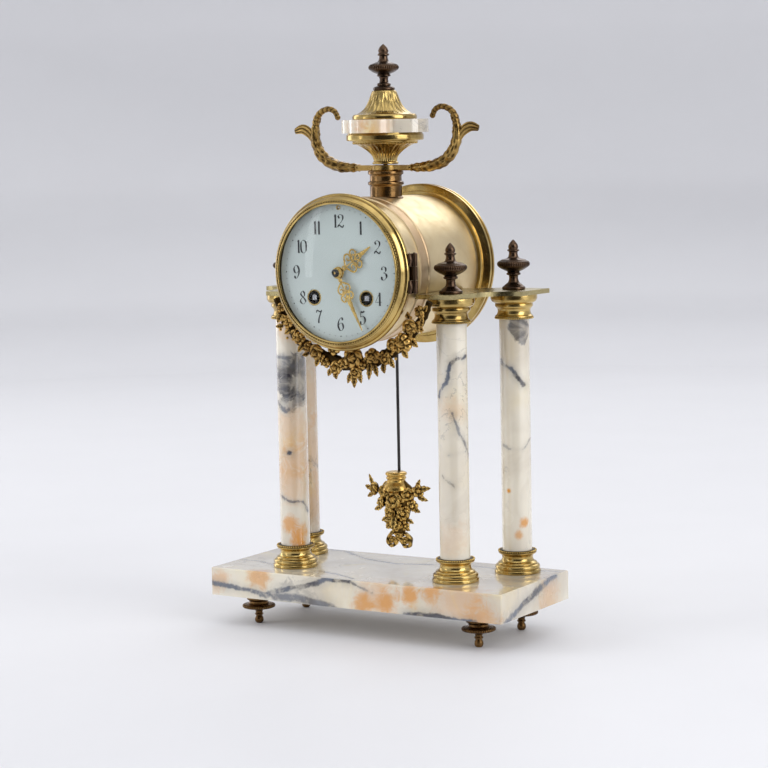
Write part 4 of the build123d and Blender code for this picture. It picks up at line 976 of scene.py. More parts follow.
def glass():
    """Clear glass that lets shadow rays through."""
    make = Recipe("clear_glass")
    make.finish(Transmission_Weight=1.0, IOR=1.2, Base_Color=(0.97, 0.985, 0.98))
    smear = make.ease(make.noise(40.0, 5.0, 0.6, 1.0), 0.45, 0.8, 0.0, 0.03)
    make.finish(Roughness=smear)
    shadow = make.add("ShaderNodeLightPath").outputs["Is Shadow Ray"]
    clear = make.add("ShaderNodeBsdfTransparent").outputs[0]
    shown = {0: shadow, 1: make.shader.outputs[0], 2: clear}
    blend = make.add("ShaderNodeMixShader", shown)
    make.feed(make.tree.nodes["Material Output"].inputs["Surface"], blend.outputs[0])
    return make.material


OTHER_FINISHES = {"drum": drum_brass, "enamel": enamel, "ink": ink, "glass": glass}


class CLOCK_OT_finishes(bpy.types.Operator):
    """Give the drum, plates, dial, glass and movement their finishes"""

    bl_idname = "clock.finishes"
    bl_label = "Finishes"

    def execute(self, context):
        wear = {
            "drum": ("drum_case",),
            "gilt_turned": ("rear_ring", "rear_door"),
            "gilt": ("rear_door_knob",),
            "plate": ("side_plate_left", "side_plate_right"),
            "enamel": ("dial",),
            "glass": ("bezel_glass",),
            "bronze": ("hinge_pins",),
            "movement": (
                "dial_pan", "centre_wheel", "front_plate", "back_plate", "plate_pillars",
                "case_straps",
                "going_barrel", "strike_barrel", "intermediate_wheel", "third_wheel",
                "escape_wheel", "minute_wheel", "hour_wheel", "suspension_cock", "pin_wheel",
            ),
            "steel": (
                "pendulum_rod", "going_mainspring", "strike_mainspring", "hammer",
                "tie_rods", "urn_rod", "cannon_pinion",
            ),
            "bright_steel": (
                "going_winding_arbor", "strike_winding_arbor", "pallet_anchor", "rating_arbor",
                "bell_stand",
            ),
            "bell": ("bell",),
        }
        for finish, nodes in wear.items():
            dress(Finishes.get(finish), *nodes)
        return {"FINISHED"}


def gadroon(count, low, high, depth):
    """Relief of rounded lobes between two heights: |cos(count a / 2)| less 1."""

    def relief(angle, height):
        share = np.clip((height - low) / (high - low), 0, 1)
        return depth * np.sin(math.pi * share) ** 0.5 * (np.abs(np.cos(count * angle / 2)) - 1)

    return relief


class CLOCK_OT_columns(bpy.types.Operator):
    """Turn the column bases and capitals with their pearl rings, the finials and the feet"""

    bl_idname = "clock.columns"
    bl_label = "Columns"

    def execute(self, context):
        trim = context.scene.clock_ornament
        z = SLAB_TOP
        base = raised(
            z,
            (9.9, 0.02, 0), (14.7, 0.02, 0.2), (15.0, 0.5, 0.3), (15.0, 2.0, 0.5),
            (14.4, 2.5, 0.1), (14.0, 2.9, 0.1), (14.6, 3.3, 0.4), (14.5, 4.9, 0.6),
            (13.5, 5.6, 0.2), (12.7, 5.8, 0.1), (12.9, 6.4, 0.3), (12.3, 7.0, 0.2),
            (10.9, 7.6, 1.0), (9.9, 9.4, 1.2), (10.2, 11.6, 1.2), (11.9, 12.6, 0.5),
            (12.4, 13.1, 0.2), (12.4, 13.6, 0.1), (11.4, 13.8, 0.1), (11.2, 15.0, 0.2),
            (9.9, 15.0, 0),
        )
        t = CAPITAL_LOW
        capital = raised(
            t,
            (9.9, 0.3, 0), (11.2, 0.3, 0.2), (11.4, 1.4, 0.1), (12.4, 1.6, 0.1), (12.2, 2.2, 0.3),
            (11.2, 2.9, 0.5), (10.5, 4.6, 1.2), (10.6, 6.4, 1.0), (11.8, 7.8, 0.4),
            (12.2, 8.4, 0.2), (12.2, 9.6, 0.3), (11.9, 10.1, 0.1), (13.1, 10.7, 0.5),
            (14.4, 11.6, 0.8), (14.7, 12.7, 0.2), (15.0, 12.9, 0.1), (15.0, 15.98, 0.3),
            (9.9, 15.98, 0),
        )
        pearl_ring = 12.0
        bases, capitals = [], []
        for at in COLUMNS.values():
            # The bands the pearl rings sit in are darkened as dark patina and painted shade.
            bases.append(soiled(turned(base, at), lambda height: height > z + 13.7))
            bases.append(bead_ring(at, z + 14.4, pearl_ring, trim.pearls, trim.pearl))
            capitals.append(soiled(turned(capital, at), lambda height: height < t + 1.5))
            capitals.append(bead_ring(at, t + 0.85, pearl_ring, trim.pearls, trim.pearl))
        gilt = Finishes.get("gilt")
        make_piece("column_base_castings", bases, gilt, "case", ("column_bases",))
        make_piece("column_capital_castings", capitals, gilt, "case",
            ("column_capitals",))

        f = FINIAL_LOW
        urn = raised(
            f,
            (0, 0, 0), (7.2, 0, 0.1), (7.5, 0.4, 0.3), (7.4, 1.6, 0.5), (6.2, 2.4, 0.4),
            (5.4, 3.2, 1.0), (3.4, 4.6, 1.2), (2.8, 7.4, 1.2), (3.1, 8.9, 0.4), (4.5, 9.4, 0.3),
            (4.6, 10.4, 0.4), (3.7, 11.0, 0.2), (4.2, 11.5, 0.8), (7.6, 13.0, 2.0),
            (10.3, 15.0, 1.2), (10.7, 16.6, 0.9), (9.8, 18.0, 0.4), (8.9, 18.3, 0.3),
            (7.4, 19.2, 0.5), (4.4, 19.9, 0.8), (3.2, 20.8, 0.8), (2.7, 23.4, 0.8),
            (3.0, 24.3, 0.2), (3.8, 24.6, 0.2), (3.8, 25.4, 0.3), (2.9, 25.9, 0.2),
            (3.3, 27.2, 0.9), (2.7, 29.2, 1.4), (0.7, 31.5, 0.4), (0, 32.0, 0),
        )
        relief = gadroon(trim.gadroons, f + 14.6, f + 18.4, 0.3)
        finials = [turned(urn, at, steps=176, gap=0.6, relief=relief) for at in COLUMNS.values()]
        make_piece(
            "finial_urns", finials, Finishes.get("bronze"), "case", ("column_finials",)
        )
        foot = [
            (0, 0.05, 0), (1.9, 0.05, 0.3), (2.9, 1.2, 1.0), (2.9, 3.4, 1.2), (2.1, 4.8, 0.3),
            (2.0, 5.3, 0.2), (2.8, 5.7, 0.2), (2.8, 6.5, 0.3), (2.2, 7.0, 0.3), (2.5, 8.6, 0.8),
            (4.6, 9.8, 1.2), (8.6, 10.2, 0.8), (10.8, 10.9, 0.5), (11.0, 11.6, 0.4),
            (10.9, 12.5, 0.4),
            (9.8, 13.0, 0.4), (8.8, 13.2, 0.4), (6.6, 13.6, 0.6), (6.2, 15.2, 0.6),
            (7.9, 16.2, 0.5),
            (8.2, 17.2, 0.4), (8.0, 18.6, 0.4), (7.4, 19.95, 0.2), (0, 19.95, 0),
        ]
        milled = gadroon(44, 9.9, 13.2, 0.28)
        for place, at in FEET.items():
            shells = [turned(foot, at, steps=176, gap=0.4, relief=milled)]
            stud = [(0, 19.9, 0), (2.0, 19.9, 0), (2.0, 26.9, 0.2), (0, 27.0, 0)]
            shells.append(turned(stud, at, steps=32))
            make_piece(
                "turned_foot_" + place, shells, Finishes.get("feet"), "case",
                ("foot_" + place,)
            )
        return {"FINISHED"}


class CLOCK_OT_bezel(bpy.types.Operator):
    """Turn the bezel with its rope ring, and shape the hinge leaves"""

    bl_idname = "clock.bezel"
    bl_label = "Bezel"

    def execute(self, context):
        trim = context.scene.clock_ornament
        low = low_high("bezel")[0]
        front = low[1]
        centre = (0.0, AXIS_Z)
        ring = raised(
            front,
            (44.6, 9.2, 0.1), (48.8, 9.2, 0.2), (49.3, 8.4, 0.3), (49.9, 7.9, 0.4),
            (50.0, 6.4, 0.8), (49.5, 5.2, 0.7), (48.6, 4.7, 0.15), (48.3, 4.9, 0.1),
            (48.2, 4.2, 0.3), (47.6, 3.0, 0.8), (47.0, 2.3, 0.2), (46.9, 1.9, 0.1),
            (46.3, 1.3, 0.3), (45.9, 1.5, 0.1), (45.6, 1.3, 0.1), (44.9, 0.9, 0.1),
            (44.5, 0.1, 0.2), (43.8, 0, 0.2), (43.4, 0.3, 0.1), (43.4, 0.6, 0.1),
            (44.6, 0.6, 0.05),
        )
        shells = [turned(ring, centre, "y", 256, closed=True)]
        strands = trim.rope
        path = circle((0, front + 0.75, AXIS_Z), 45.25, strands * 4)

        def twist(s, a):
            return 0.2 * (np.cos(TAU * strands * s + a) - 1)

        shells.append(tube(path, 0.5, 0.5, (0, 1, 0), 8, twist, closed=True))
        make_piece("bezel_ring", shells, Finishes.get("gilt_turned"), "bezel",
            ("bezel",))

        shells = []
        hinge_x, hinge_y = 51.4, -44.6
        half_length = 12.5
        for start, end in ((-half_length, -4.5), (4.5, half_length)):
            barrel = [
                (0.86, AXIS_Z + start, 0), (1.7, AXIS_Z + start, 0.1),
                (1.9, AXIS_Z + start + 0.25, 0.1),
                (1.9, AXIS_Z + end - 0.25, 0.1), (1.7, AXIS_Z + end, 0.1), (0.86, AXIS_Z + end, 0),
            ]
            shells.append(turned(barrel, (hinge_x, hinge_y), steps=32, closed=True))
            height = np.linspace(start, end, 9)
            path = np.stack([np.full(9, 49.9), np.full(9, hinge_y - 2.7), AXIS_Z + height], axis=-1)
            swell = 0.5 + 0.12 * np.cos(np.linspace(-math.pi, math.pi, 9))
            shells.append(tube(path, 1.35 * swell / 0.5, 2.1, (0, 1, 0), 16))
        make_piece("hinge_knuckles", shells, Finishes.get("bronze"), "bezel")

        # The fixed leaf wraps the drum behind its front flange, with a scalloped back edge.
        leaf_front, leaf_radius, drum_radius = -43.1, 46.9, 45.9
        height = np.linspace(-half_length, half_length, 81)[:, None]
        across = np.linspace(0, 1, 9)[None]
        scallop = 1 - 0.22 * np.abs(np.cos(math.pi * (height / 25 + 0.5) * 6))
        reach = (7.4 - 4.2 * (height / half_length) ** 2) * scallop
        y = leaf_front + reach * across
        angle = np.arcsin(height / 47.0)
        rise = leaf_radius + 0.8 * np.sin(math.pi * (0.15 + 0.85 * across)) + 0.25 * np.cos(across * 9)
        top = np.stack([rise * np.cos(angle), y, AXIS_Z + rise * np.sin(angle) + 0 * y], axis=-1)
        under = drum_radius * np.array([np.cos(angle) + 0 * y, np.sin(angle) + 0 * y])
        under = np.stack([under[0], y, AXIS_Z + under[1]], axis=-1)
        loop = np.concatenate([top, under[:, ::-1], top[:, :1]], axis=1)
        middle_line = np.repeat(loop[[0, -1]].mean(axis=1)[:, None], loop.shape[1], axis=1)
        loop = np.concatenate([middle_line[:1], loop, middle_line[1:]])
        edge = np.linspace(-10.5, 10.5, 11)
        back = leaf_front + (6.0 - 3.6 * (edge / half_length) ** 2)
        out = 47.1 * np.cos(np.arcsin(edge / 47.2))
        beads = np.stack([out, back, AXIS_Z + edge], axis=-1)
        shells = [grid(loop), copies(ball(0.75), beads)]
        make_piece("hinge_leaf", shells, Finishes.get("bronze"), "case")
        return {"FINISHED"}


# Numerals: strokes are (line, heavy), in units of the numeral's height; dots are (x, y, r).
STROKES = {
    "0": ([([(0.27, 1.0), (0.07, 0.84), (0.03, 0.5), (0.07, 0.16), (0.27, 0.0), (0.47, 0.16),
        (0.51, 0.5), (0.47, 0.84), (0.27, 1.0)], 1.0)], ()),
    "1": ([([(0.16, 0.0), (0.16, 1.0)], 1.1), ([(0.2, 0.99), (0.12, 0.9), (0.03, 0.86)], 0.5),
        ([(0.06, 0.015), (0.27, 0.015)], 0.3)], ()),
    "2": ([([(0.13, 0.76), (0.1, 0.9), (0.27, 1.0), (0.47, 0.88), (0.47, 0.64), (0.3, 0.4),
        (0.1, 0.2), (0.03, 0.07)], 0.95),
            ([(0.03, 0.08), (0.15, 0.2), (0.33, 0.08), (0.46, 0.04), (0.54, 0.17)], 2.6)],
                ((0.14, 0.76, 0.075), (0.54, 0.17, 0.05), (0.03, 0.06, 0.045))),
    "3": ([([(0.1, 0.82), (0.16, 0.96), (0.3, 1.0), (0.45, 0.9), (0.44, 0.66), (0.26, 0.54)], 0.95),
        ([(0.26, 0.54), (0.48, 0.44), (0.52, 0.22), (0.36, 0.02), (0.18, 0.0), (0.07, 0.15)],
            1.1)], ((0.12, 0.81, 0.07), (0.1, 0.18, 0.08))),
    "4": ([([(0.42, 1.0), (0.22, 0.64), (0.02, 0.28)], 0.25), ([(0.02, 0.27), (0.58, 0.27)], 0.3),
        ([(0.41, 0.0), (0.41, 1.0)], 1.1), ([(0.3, 0.015), (0.52, 0.015)], 0.3)], ()),
    "5": ([([(0.12, 0.96), (0.28, 0.92), (0.46, 1.0)], 3.2), ([(0.12, 0.96), (0.1, 0.54)], 0.3),
        ([(0.1, 0.54), (0.28, 0.63), (0.47, 0.5), (0.5, 0.24), (0.34, 0.02), (0.17, 0.0),
            (0.07, 0.13)], 1.05)], ((0.1, 0.17, 0.075),)),
    "6": ([([(0.44, 0.86), (0.36, 0.99), (0.22, 0.92), (0.07, 0.64), (0.05, 0.3), (0.2, 0.02),
        (0.38, 0.03), (0.5, 0.26), (0.42, 0.52), (0.26, 0.58), (0.09, 0.42)], 1.0)],
            ((0.43, 0.85, 0.07),)),
    "7": ([([(0.05, 0.86), (0.13, 0.98), (0.3, 0.9), (0.43, 0.89), (0.53, 0.99)], 2.4),
        ([(0.52, 0.98), (0.36, 0.62), (0.26, 0.3), (0.24, 0.0)], 1.0)], ((0.05, 0.84, 0.045),)),
    "8": ([([(0.45, 0.8), (0.27, 1.0), (0.09, 0.8), (0.2, 0.61), (0.41, 0.42), (0.51, 0.2),
        (0.28, 0.0), (0.05, 0.2), (0.16, 0.44), (0.37, 0.6), (0.45, 0.8)], 0.95)], ()),
}
ADVANCE = {"1": 0.34}


def stroke(line, heavy, height):
    """A ribbon along the line, wide where it runs upright and thin where it runs level."""
    path = smooth(np.array(line) * height, 10)
    way = np.gradient(path, axis=0)
    way = way / np.maximum(np.linalg.norm(way, axis=1), 1e-9)[:, None]
    upright = np.clip(np.abs(-0.26 * way[:, 0] + 0.97 * way[:, 1]), 0, 1)
    level = 0.021 * heavy if heavy > 2 else 0.018
    return path, height * np.maximum(level, 0.078 * heavy * upright**2.2 * (heavy <= 2))


class CLOCK_OT_dial(bpy.types.Operator):
    """Write the numerals and minute dots on the dial, and ring its holes"""

    bl_idname = "clock.dial"
    bl_label = "Dial"

    def execute(self, context):
        trim = context.scene.clock_ornament
        size = trim.numeral
        face = DIAL_FACE - 0.02
        shells = []

        def write(path, half, x, z):
            line = standing(path + (x, z), face)
            root = math.sqrt(2)
            shells.append(tube(line, half * root, 0.04 * root, (0, 1, 0), 4, turn=math.pi / 4))

        def dot(x, z, radius):
            disc = raised(face, (0, -0.04, 0), (radius, -0.04, 0), (radius, 0.02, 0), (0, 0.02, 0))
            shells.append(turned(disc, (x, z), "y", 16))

        for hour in range(1, 13):
            text = str(hour)
            widths = [ADVANCE.get(digit, 0.58) for digit in text]
            angle = TAU * hour / 12
            x = trim.numeral_ring * math.sin(angle) - 0.5 * size * (sum(widths) - 0.04)
            z = AXIS_Z + trim.numeral_ring * math.cos(angle) - 0.5 * size
            for digit, width in zip(text, widths):
                upside_down = digit == "9"
                lines, dots = STROKES["6" if upside_down else digit]
                for line, heavy in lines:
                    path, half = stroke(line, heavy, size)
                    if upside_down:
                        path = np.array([0.54, 1.0]) * size - path
                    write(path, half, x, z)
                for dot_x, dot_y, radius in dots:
                    if upside_down:
                        dot_x, dot_y = 0.54 - dot_x, 1.0 - dot_y
                    dot(x + dot_x * size, z + dot_y * size, radius * size)
                x += width * size
        make_piece("dial_numerals", shells, Finishes.get("ink"), "case")

        shells = []
        track, hour_dot, minute_dot = 40.2, 0.42, 0.26
        for minute in range(60):
            angle = TAU * minute / 60
            radius = hour_dot if minute % 5 == 0 else minute_dot
            dot(track * math.sin(angle), AXIS_Z + track * math.cos(angle), radius)
        make_piece("minute_dots", shells, Finishes.get("ink"), "case")

        shells = []
        holes = ((19.5, -16.0, 4.6, 0.6), (-19.5, -16.0, 4.6, 0.6), (0.0, 41.0, 1.3, 0.3))
        for x, z, radius, lip in holes:
            eyelet = raised(
                face,
                (radius - 0.35, 1.4, 0), (radius - 0.35, -0.1, 0.1), (radius - 0.1, -0.32, 0.1),
                (radius + lip * 0.7, -0.3, 0.2), (radius + lip, 0.02, 0.1),
                (radius - 0.05, 0.02, 0), (radius - 0.05, 1.4, 0),
            )
            shells.append(turned(eyelet, (x, AXIS_Z + z), "y", 64, closed=True))
        make_piece("dial_eyelets", shells, Finishes.get("gilt"), "case")
        return {"FINISHED"}


# Scrolls of a hand's right side, in shares of its half-width and of its cluster's length.
LOWER_SCROLL = (
    (0.5, 0.04), (0.95, 0.2), (0.9, 0.4), (0.5, 0.46), (0.25, 0.34), (0.42, 0.22), (0.62, 0.27),
)
UPPER_SCROLL = (
    (0, 0.4), (0.4, 0.54), (0.86, 0.56), (1.0, 0.72), (0.7, 0.86), (0.4, 0.78), (0.42, 0.66),
    (0.6, 0.66),
)
TIP_SCROLL = ((0, 0.62), (0.26, 0.78), (0.22, 0.92), (0, 1.06))


class CLOCK_OT_hands(bpy.types.Operator):
    """Saw the two pierced hands from scrolls, rings and a leafy blade"""

    bl_idname = "clock.hands"
    bl_label = "Hands"

    def execute(self, context):
        self.hand(
            "hour_hand", "hour_hand_scrolls", "hour_pipe",
            degrees=55.0, boss=3.2, cluster=(7.4, 20.0), spread=6.4, length=29.0,
        )
        self.hand(
            "minute_hand", "minute_hand_scrolls", "minute_arbor",
            degrees=153.7, boss=2.9, cluster=(7.6, 20.5), spread=4.6, length=40.0,
        )
        front = low_high("minute_hand")[0][1]
        cap = raised(
            front,
            (1.55, -0.02, 0), (3.0, -0.02, 0.2), (3.1, -0.9, 0.3), (2.5, -1.4, 0.2),
            (1.55, -1.4, 0),
        )
        make_piece(
            "hand_collet", [turned(cap, (0, AXIS_Z), "y", 48, closed=True)], Finishes.get("hands"),
            "minute_arbor",
        )
        return {"FINISHED"}

    def hand(self, node, name, body, degrees, boss, cluster, spread, length):
        """A ring of radius boss on the arbor, scrolls between the two ends of the cluster,
        and a blade out to the length."""
        low, high = low_high(node)
        y = (low[1] + high[1]) / 2
        turn = math.radians(degrees)

        def lay(route, steps=7):
            """Route of (across, along) points laid at the hand's angle on the dial."""
            line = smooth(route, steps)
            x = line[:, 1] * math.sin(turn) + line[:, 0] * math.cos(turn)
            z = AXIS_Z + line[:, 1] * math.cos(turn) - line[:, 0] * math.sin(turn)
            return np.stack([x, np.full(len(x), y), z], axis=-1)

        def wire(route, thick=0.6):
            path = lay(route)
            taper = thick * (1 - 0.35 * np.linspace(0, 1, len(path)) ** 2)
            shells.append(tube(path, taper, 0.34, (0, 1, 0), 10))

        start, end = cluster
        size = end - start

        def cluster_points(s, route):
            """A route of shares as (across, along) points, s being the half-width."""
            return [(across * s, start + up * size) for across, up in route]

        shells = [tube(circle((0, y, AXIS_Z), boss), 0.7, 0.32, (0, 1, 0), 10, closed=True)]
        wire([(0, boss), (0.25, start), (0, start + 0.35 * size), (0, end)], 0.5)
        for side in (-1, 1):
            s = side * spread
            wire([(0, start - 1.0)] + cluster_points(s, LOWER_SCROLL))
            wire(cluster_points(s, UPPER_SCROLL))
            wire(cluster_points(s, TIP_SCROLL))
            wire([(0.06 * s, boss + 0.4), (0.2 * s, boss + 0.5 * (start - boss)), (0, start)], 0.5)
            for share in (0.08, 0.48, 0.88):
                at = lay([(0.55 * s, start + share * size), (0.6 * s, start + share * size)])[0]
                shells.append(copies(ball(0.62, 10, 6, 1.0), [at * (1, 0, 1) + (0, y, 0)]))
        blade = lay([(0, end - 1.0), (0, (end + length) / 2), (0, length)], 16)
        share = np.linspace(0, 1, len(blade))
        edge = (1.3 - 1.0 * share) * (1 + 0.3 * np.abs(np.sin(share * math.pi * 5.5))) + 0.05
        shells.append(tube(blade, edge, 0.3, (0, 1, 0), 8))
        points, quads, cavity = joined(shells)
        thick = 0.34
        points[:, 1] = np.clip(points[:, 1], y - thick, y + thick)
        make_piece(name, [(points, quads, cavity)], Finishes.get("hands"), body,
            (node,))


class CLOCK_OT_garland(bpy.types.Operator):
    """Hang the cast garland of roses, leaves and berries under the drum"""

    bl_idname = "clock.garland"
    bl_label = "Garland"

    def execute(self, context):
        low, high = low_high("garland")
        y = (low[1] + high[1]) / 2
        draw = np.random.default_rng(7)
        spine = smooth(
            [
                (-57.5, 218.5), (-53.0, 208.5), (-46.5, 198.5), (-37.5, 190.0), (-26.0, 183.5),
                (-13.0, 179.0),
                (0.0, 177.0), (13.0, 179.0), (26.0, 184.5), (37.5, 191.5), (46.5, 200.5),
                (53.5, 209.5), (57.8, 218.5),
            ],
            6,
        )
        line = standing(spine, y + 0.6)
        share = np.linspace(-1, 1, len(line))
        stem = tube(
            line, 4.6 - 2.4 * share**2, 2.3, (0, 1, 0), 14,
            lambda s, a: 0.12 * np.cos(TAU * 26 * s + 2 * a) - 0.1,
        )
        # Painted shade: the stem, behind the blossoms and leaves, is darkened to at least 0.85.
        shells = [(stem[0], stem[1], np.maximum(stem[2], 0.85))]
        blossoms = (
            (2.0, 182.0, 7.2, 6, 2.2), (-26.0, 184.5, 5.6, 5, 2.4), (-12.5, 187.0, 4.6, 5, 0.0),
            (-11.4, 175.0, 4.8, 5, 3.0), (16.5, 183.5, 5.6, 5, 0.0), (32.0, 191.0, 5.0, 6, 2.0),
            (40.0, 193.0, 6.6, 8, 0.0), (44.5, 203.0, 5.4, 5, 2.2), (-39.0, 193.0, 4.6, 6, 0.0),
            (-47.4, 203.0, 3.8, 5, 2.0), (51.5, 212.0, 4.2, 5, 0.0), (-53.0, 212.5, 3.4, 5, 0.0),
            (26.0, 181.5, 4.0, 5, 2.6), (3.5, 172.5, 4.4, 5, 2.0), (-18.8, 178.0, 3.6, 5, 0.0),
            (-33.0, 187.5, 3.4, 5, 2.0), (8.6, 177.5, 3.4, 5, 0.0), (-5.0, 178.0, 3.6, 6, 0.0),
        )
        for x, z, radius, petals, wind in blossoms:
            out = (draw.normal(0, 0.22), -1, draw.normal(-0.1, 0.22))
            shells.append(flower((x, y - 0.9, z), out, radius, petals, wind, draw.uniform(0, 6)))
        hanging = (
            ((3.0, 173.0), (0.05, -1.0), 10.6, 5.6), ((0.0, 172.0), (-0.35, -1.0), 7.2, 4.2),
            ((6.2, 172.5), (0.3, -1.0), 7.2, 4.2), ((14.4, 179.0), (-0.04, -1.0), 11.0, 4.8),
            ((17.5, 178.0), (0.3, -1.0), 8.0, 4.4), ((-12.0, 172.8), (0.3, -1.0), 5.6, 4.6),
            ((-15.0, 174.0), (-0.5, -1.0), 5.2, 4.2), ((24.0, 178.6), (0.3, -1.0), 6.4, 4.6),
            ((29.0, 182.0), (0.7, -1.0), 7.0, 4.6), ((-24.0, 181.0), (-0.3, -1.0), 6.4, 4.8),
            ((39.0, 188.0), (0.8, -1.0), 6.8, 5.0), ((45.5, 194.0), (1.0, -0.8), 6.4, 4.6),
            ((-36.5, 188.5), (-0.9, -1.0), 5.8, 4.2), ((-46.0, 198.5), (-1.0, -0.7), 5.4, 4.0),
            ((50.0, 203.0), (1.0, -0.5), 6.2, 4.4), ((-51.5, 207.0), (-1.0, -0.3), 5.0, 3.8),
            ((44.0, 208.0), (-0.6, 1.0), 6.0, 4.0), ((55.0, 213.0), (0.7, 0.7), 5.2, 3.8),
        )
        for (x, z), (way_x, way_z), length, width in hanging:
            way = (way_x, draw.normal(-0.12, 0.12), way_z)
            shells.append(leaf((x, y - 0.8, z), way, (0.0, -1, 0.1), length, width, 0.12, 4, 0.9))
        for _ in range(34):
            t = draw.integers(2, len(line) - 2)
            way = draw.uniform(0, TAU)
            root = line[t] + (draw.normal(0, 1.8), -1.5 + draw.normal(0, 0.5), draw.normal(0, 2.0))
            length = draw.uniform(4.0, 6.4)
            aim = (math.cos(way), -0.3, math.sin(way))
            shells.append(leaf(root, aim, (0, -1, 0), length, 0.8 * length, 0.12, 3, 1.1))
        spots = line[draw.integers(2, len(line) - 2, 60)]
        spots = spots + draw.normal(0, 1, (60, 3)) * (2.6, 0.5, 3.2) + (0, -2.6, 0)
        shells.append(copies(ball(1.0, 10, 7), spots))
        points, quads, cavity = joined(shells)
        # Painted shade: points further back than the front of the garland grow darker.
        shade_further_back = np.clip((points[:, 1] - (y - 1.0)) / 3.5, 0, 1)
        away = np.hypot(points[:, 0], points[:, 2] - AXIS_Z)
        drum_clearance = 49.3
        push = np.maximum(drum_clearance - away, 0) / np.maximum(away, 1)
        points = points + np.stack(
            [points[:, 0] * push, 0 * push, (points[:, 2] - AXIS_Z) * push], axis=-1
        )
        make_piece(
            "garland_casting", [(points, quads, np.maximum(cavity, shade_further_back))], Finishes.get("garland"),
            "case",
            ("garland",), 60,
        )
        return {"FINISHED"}


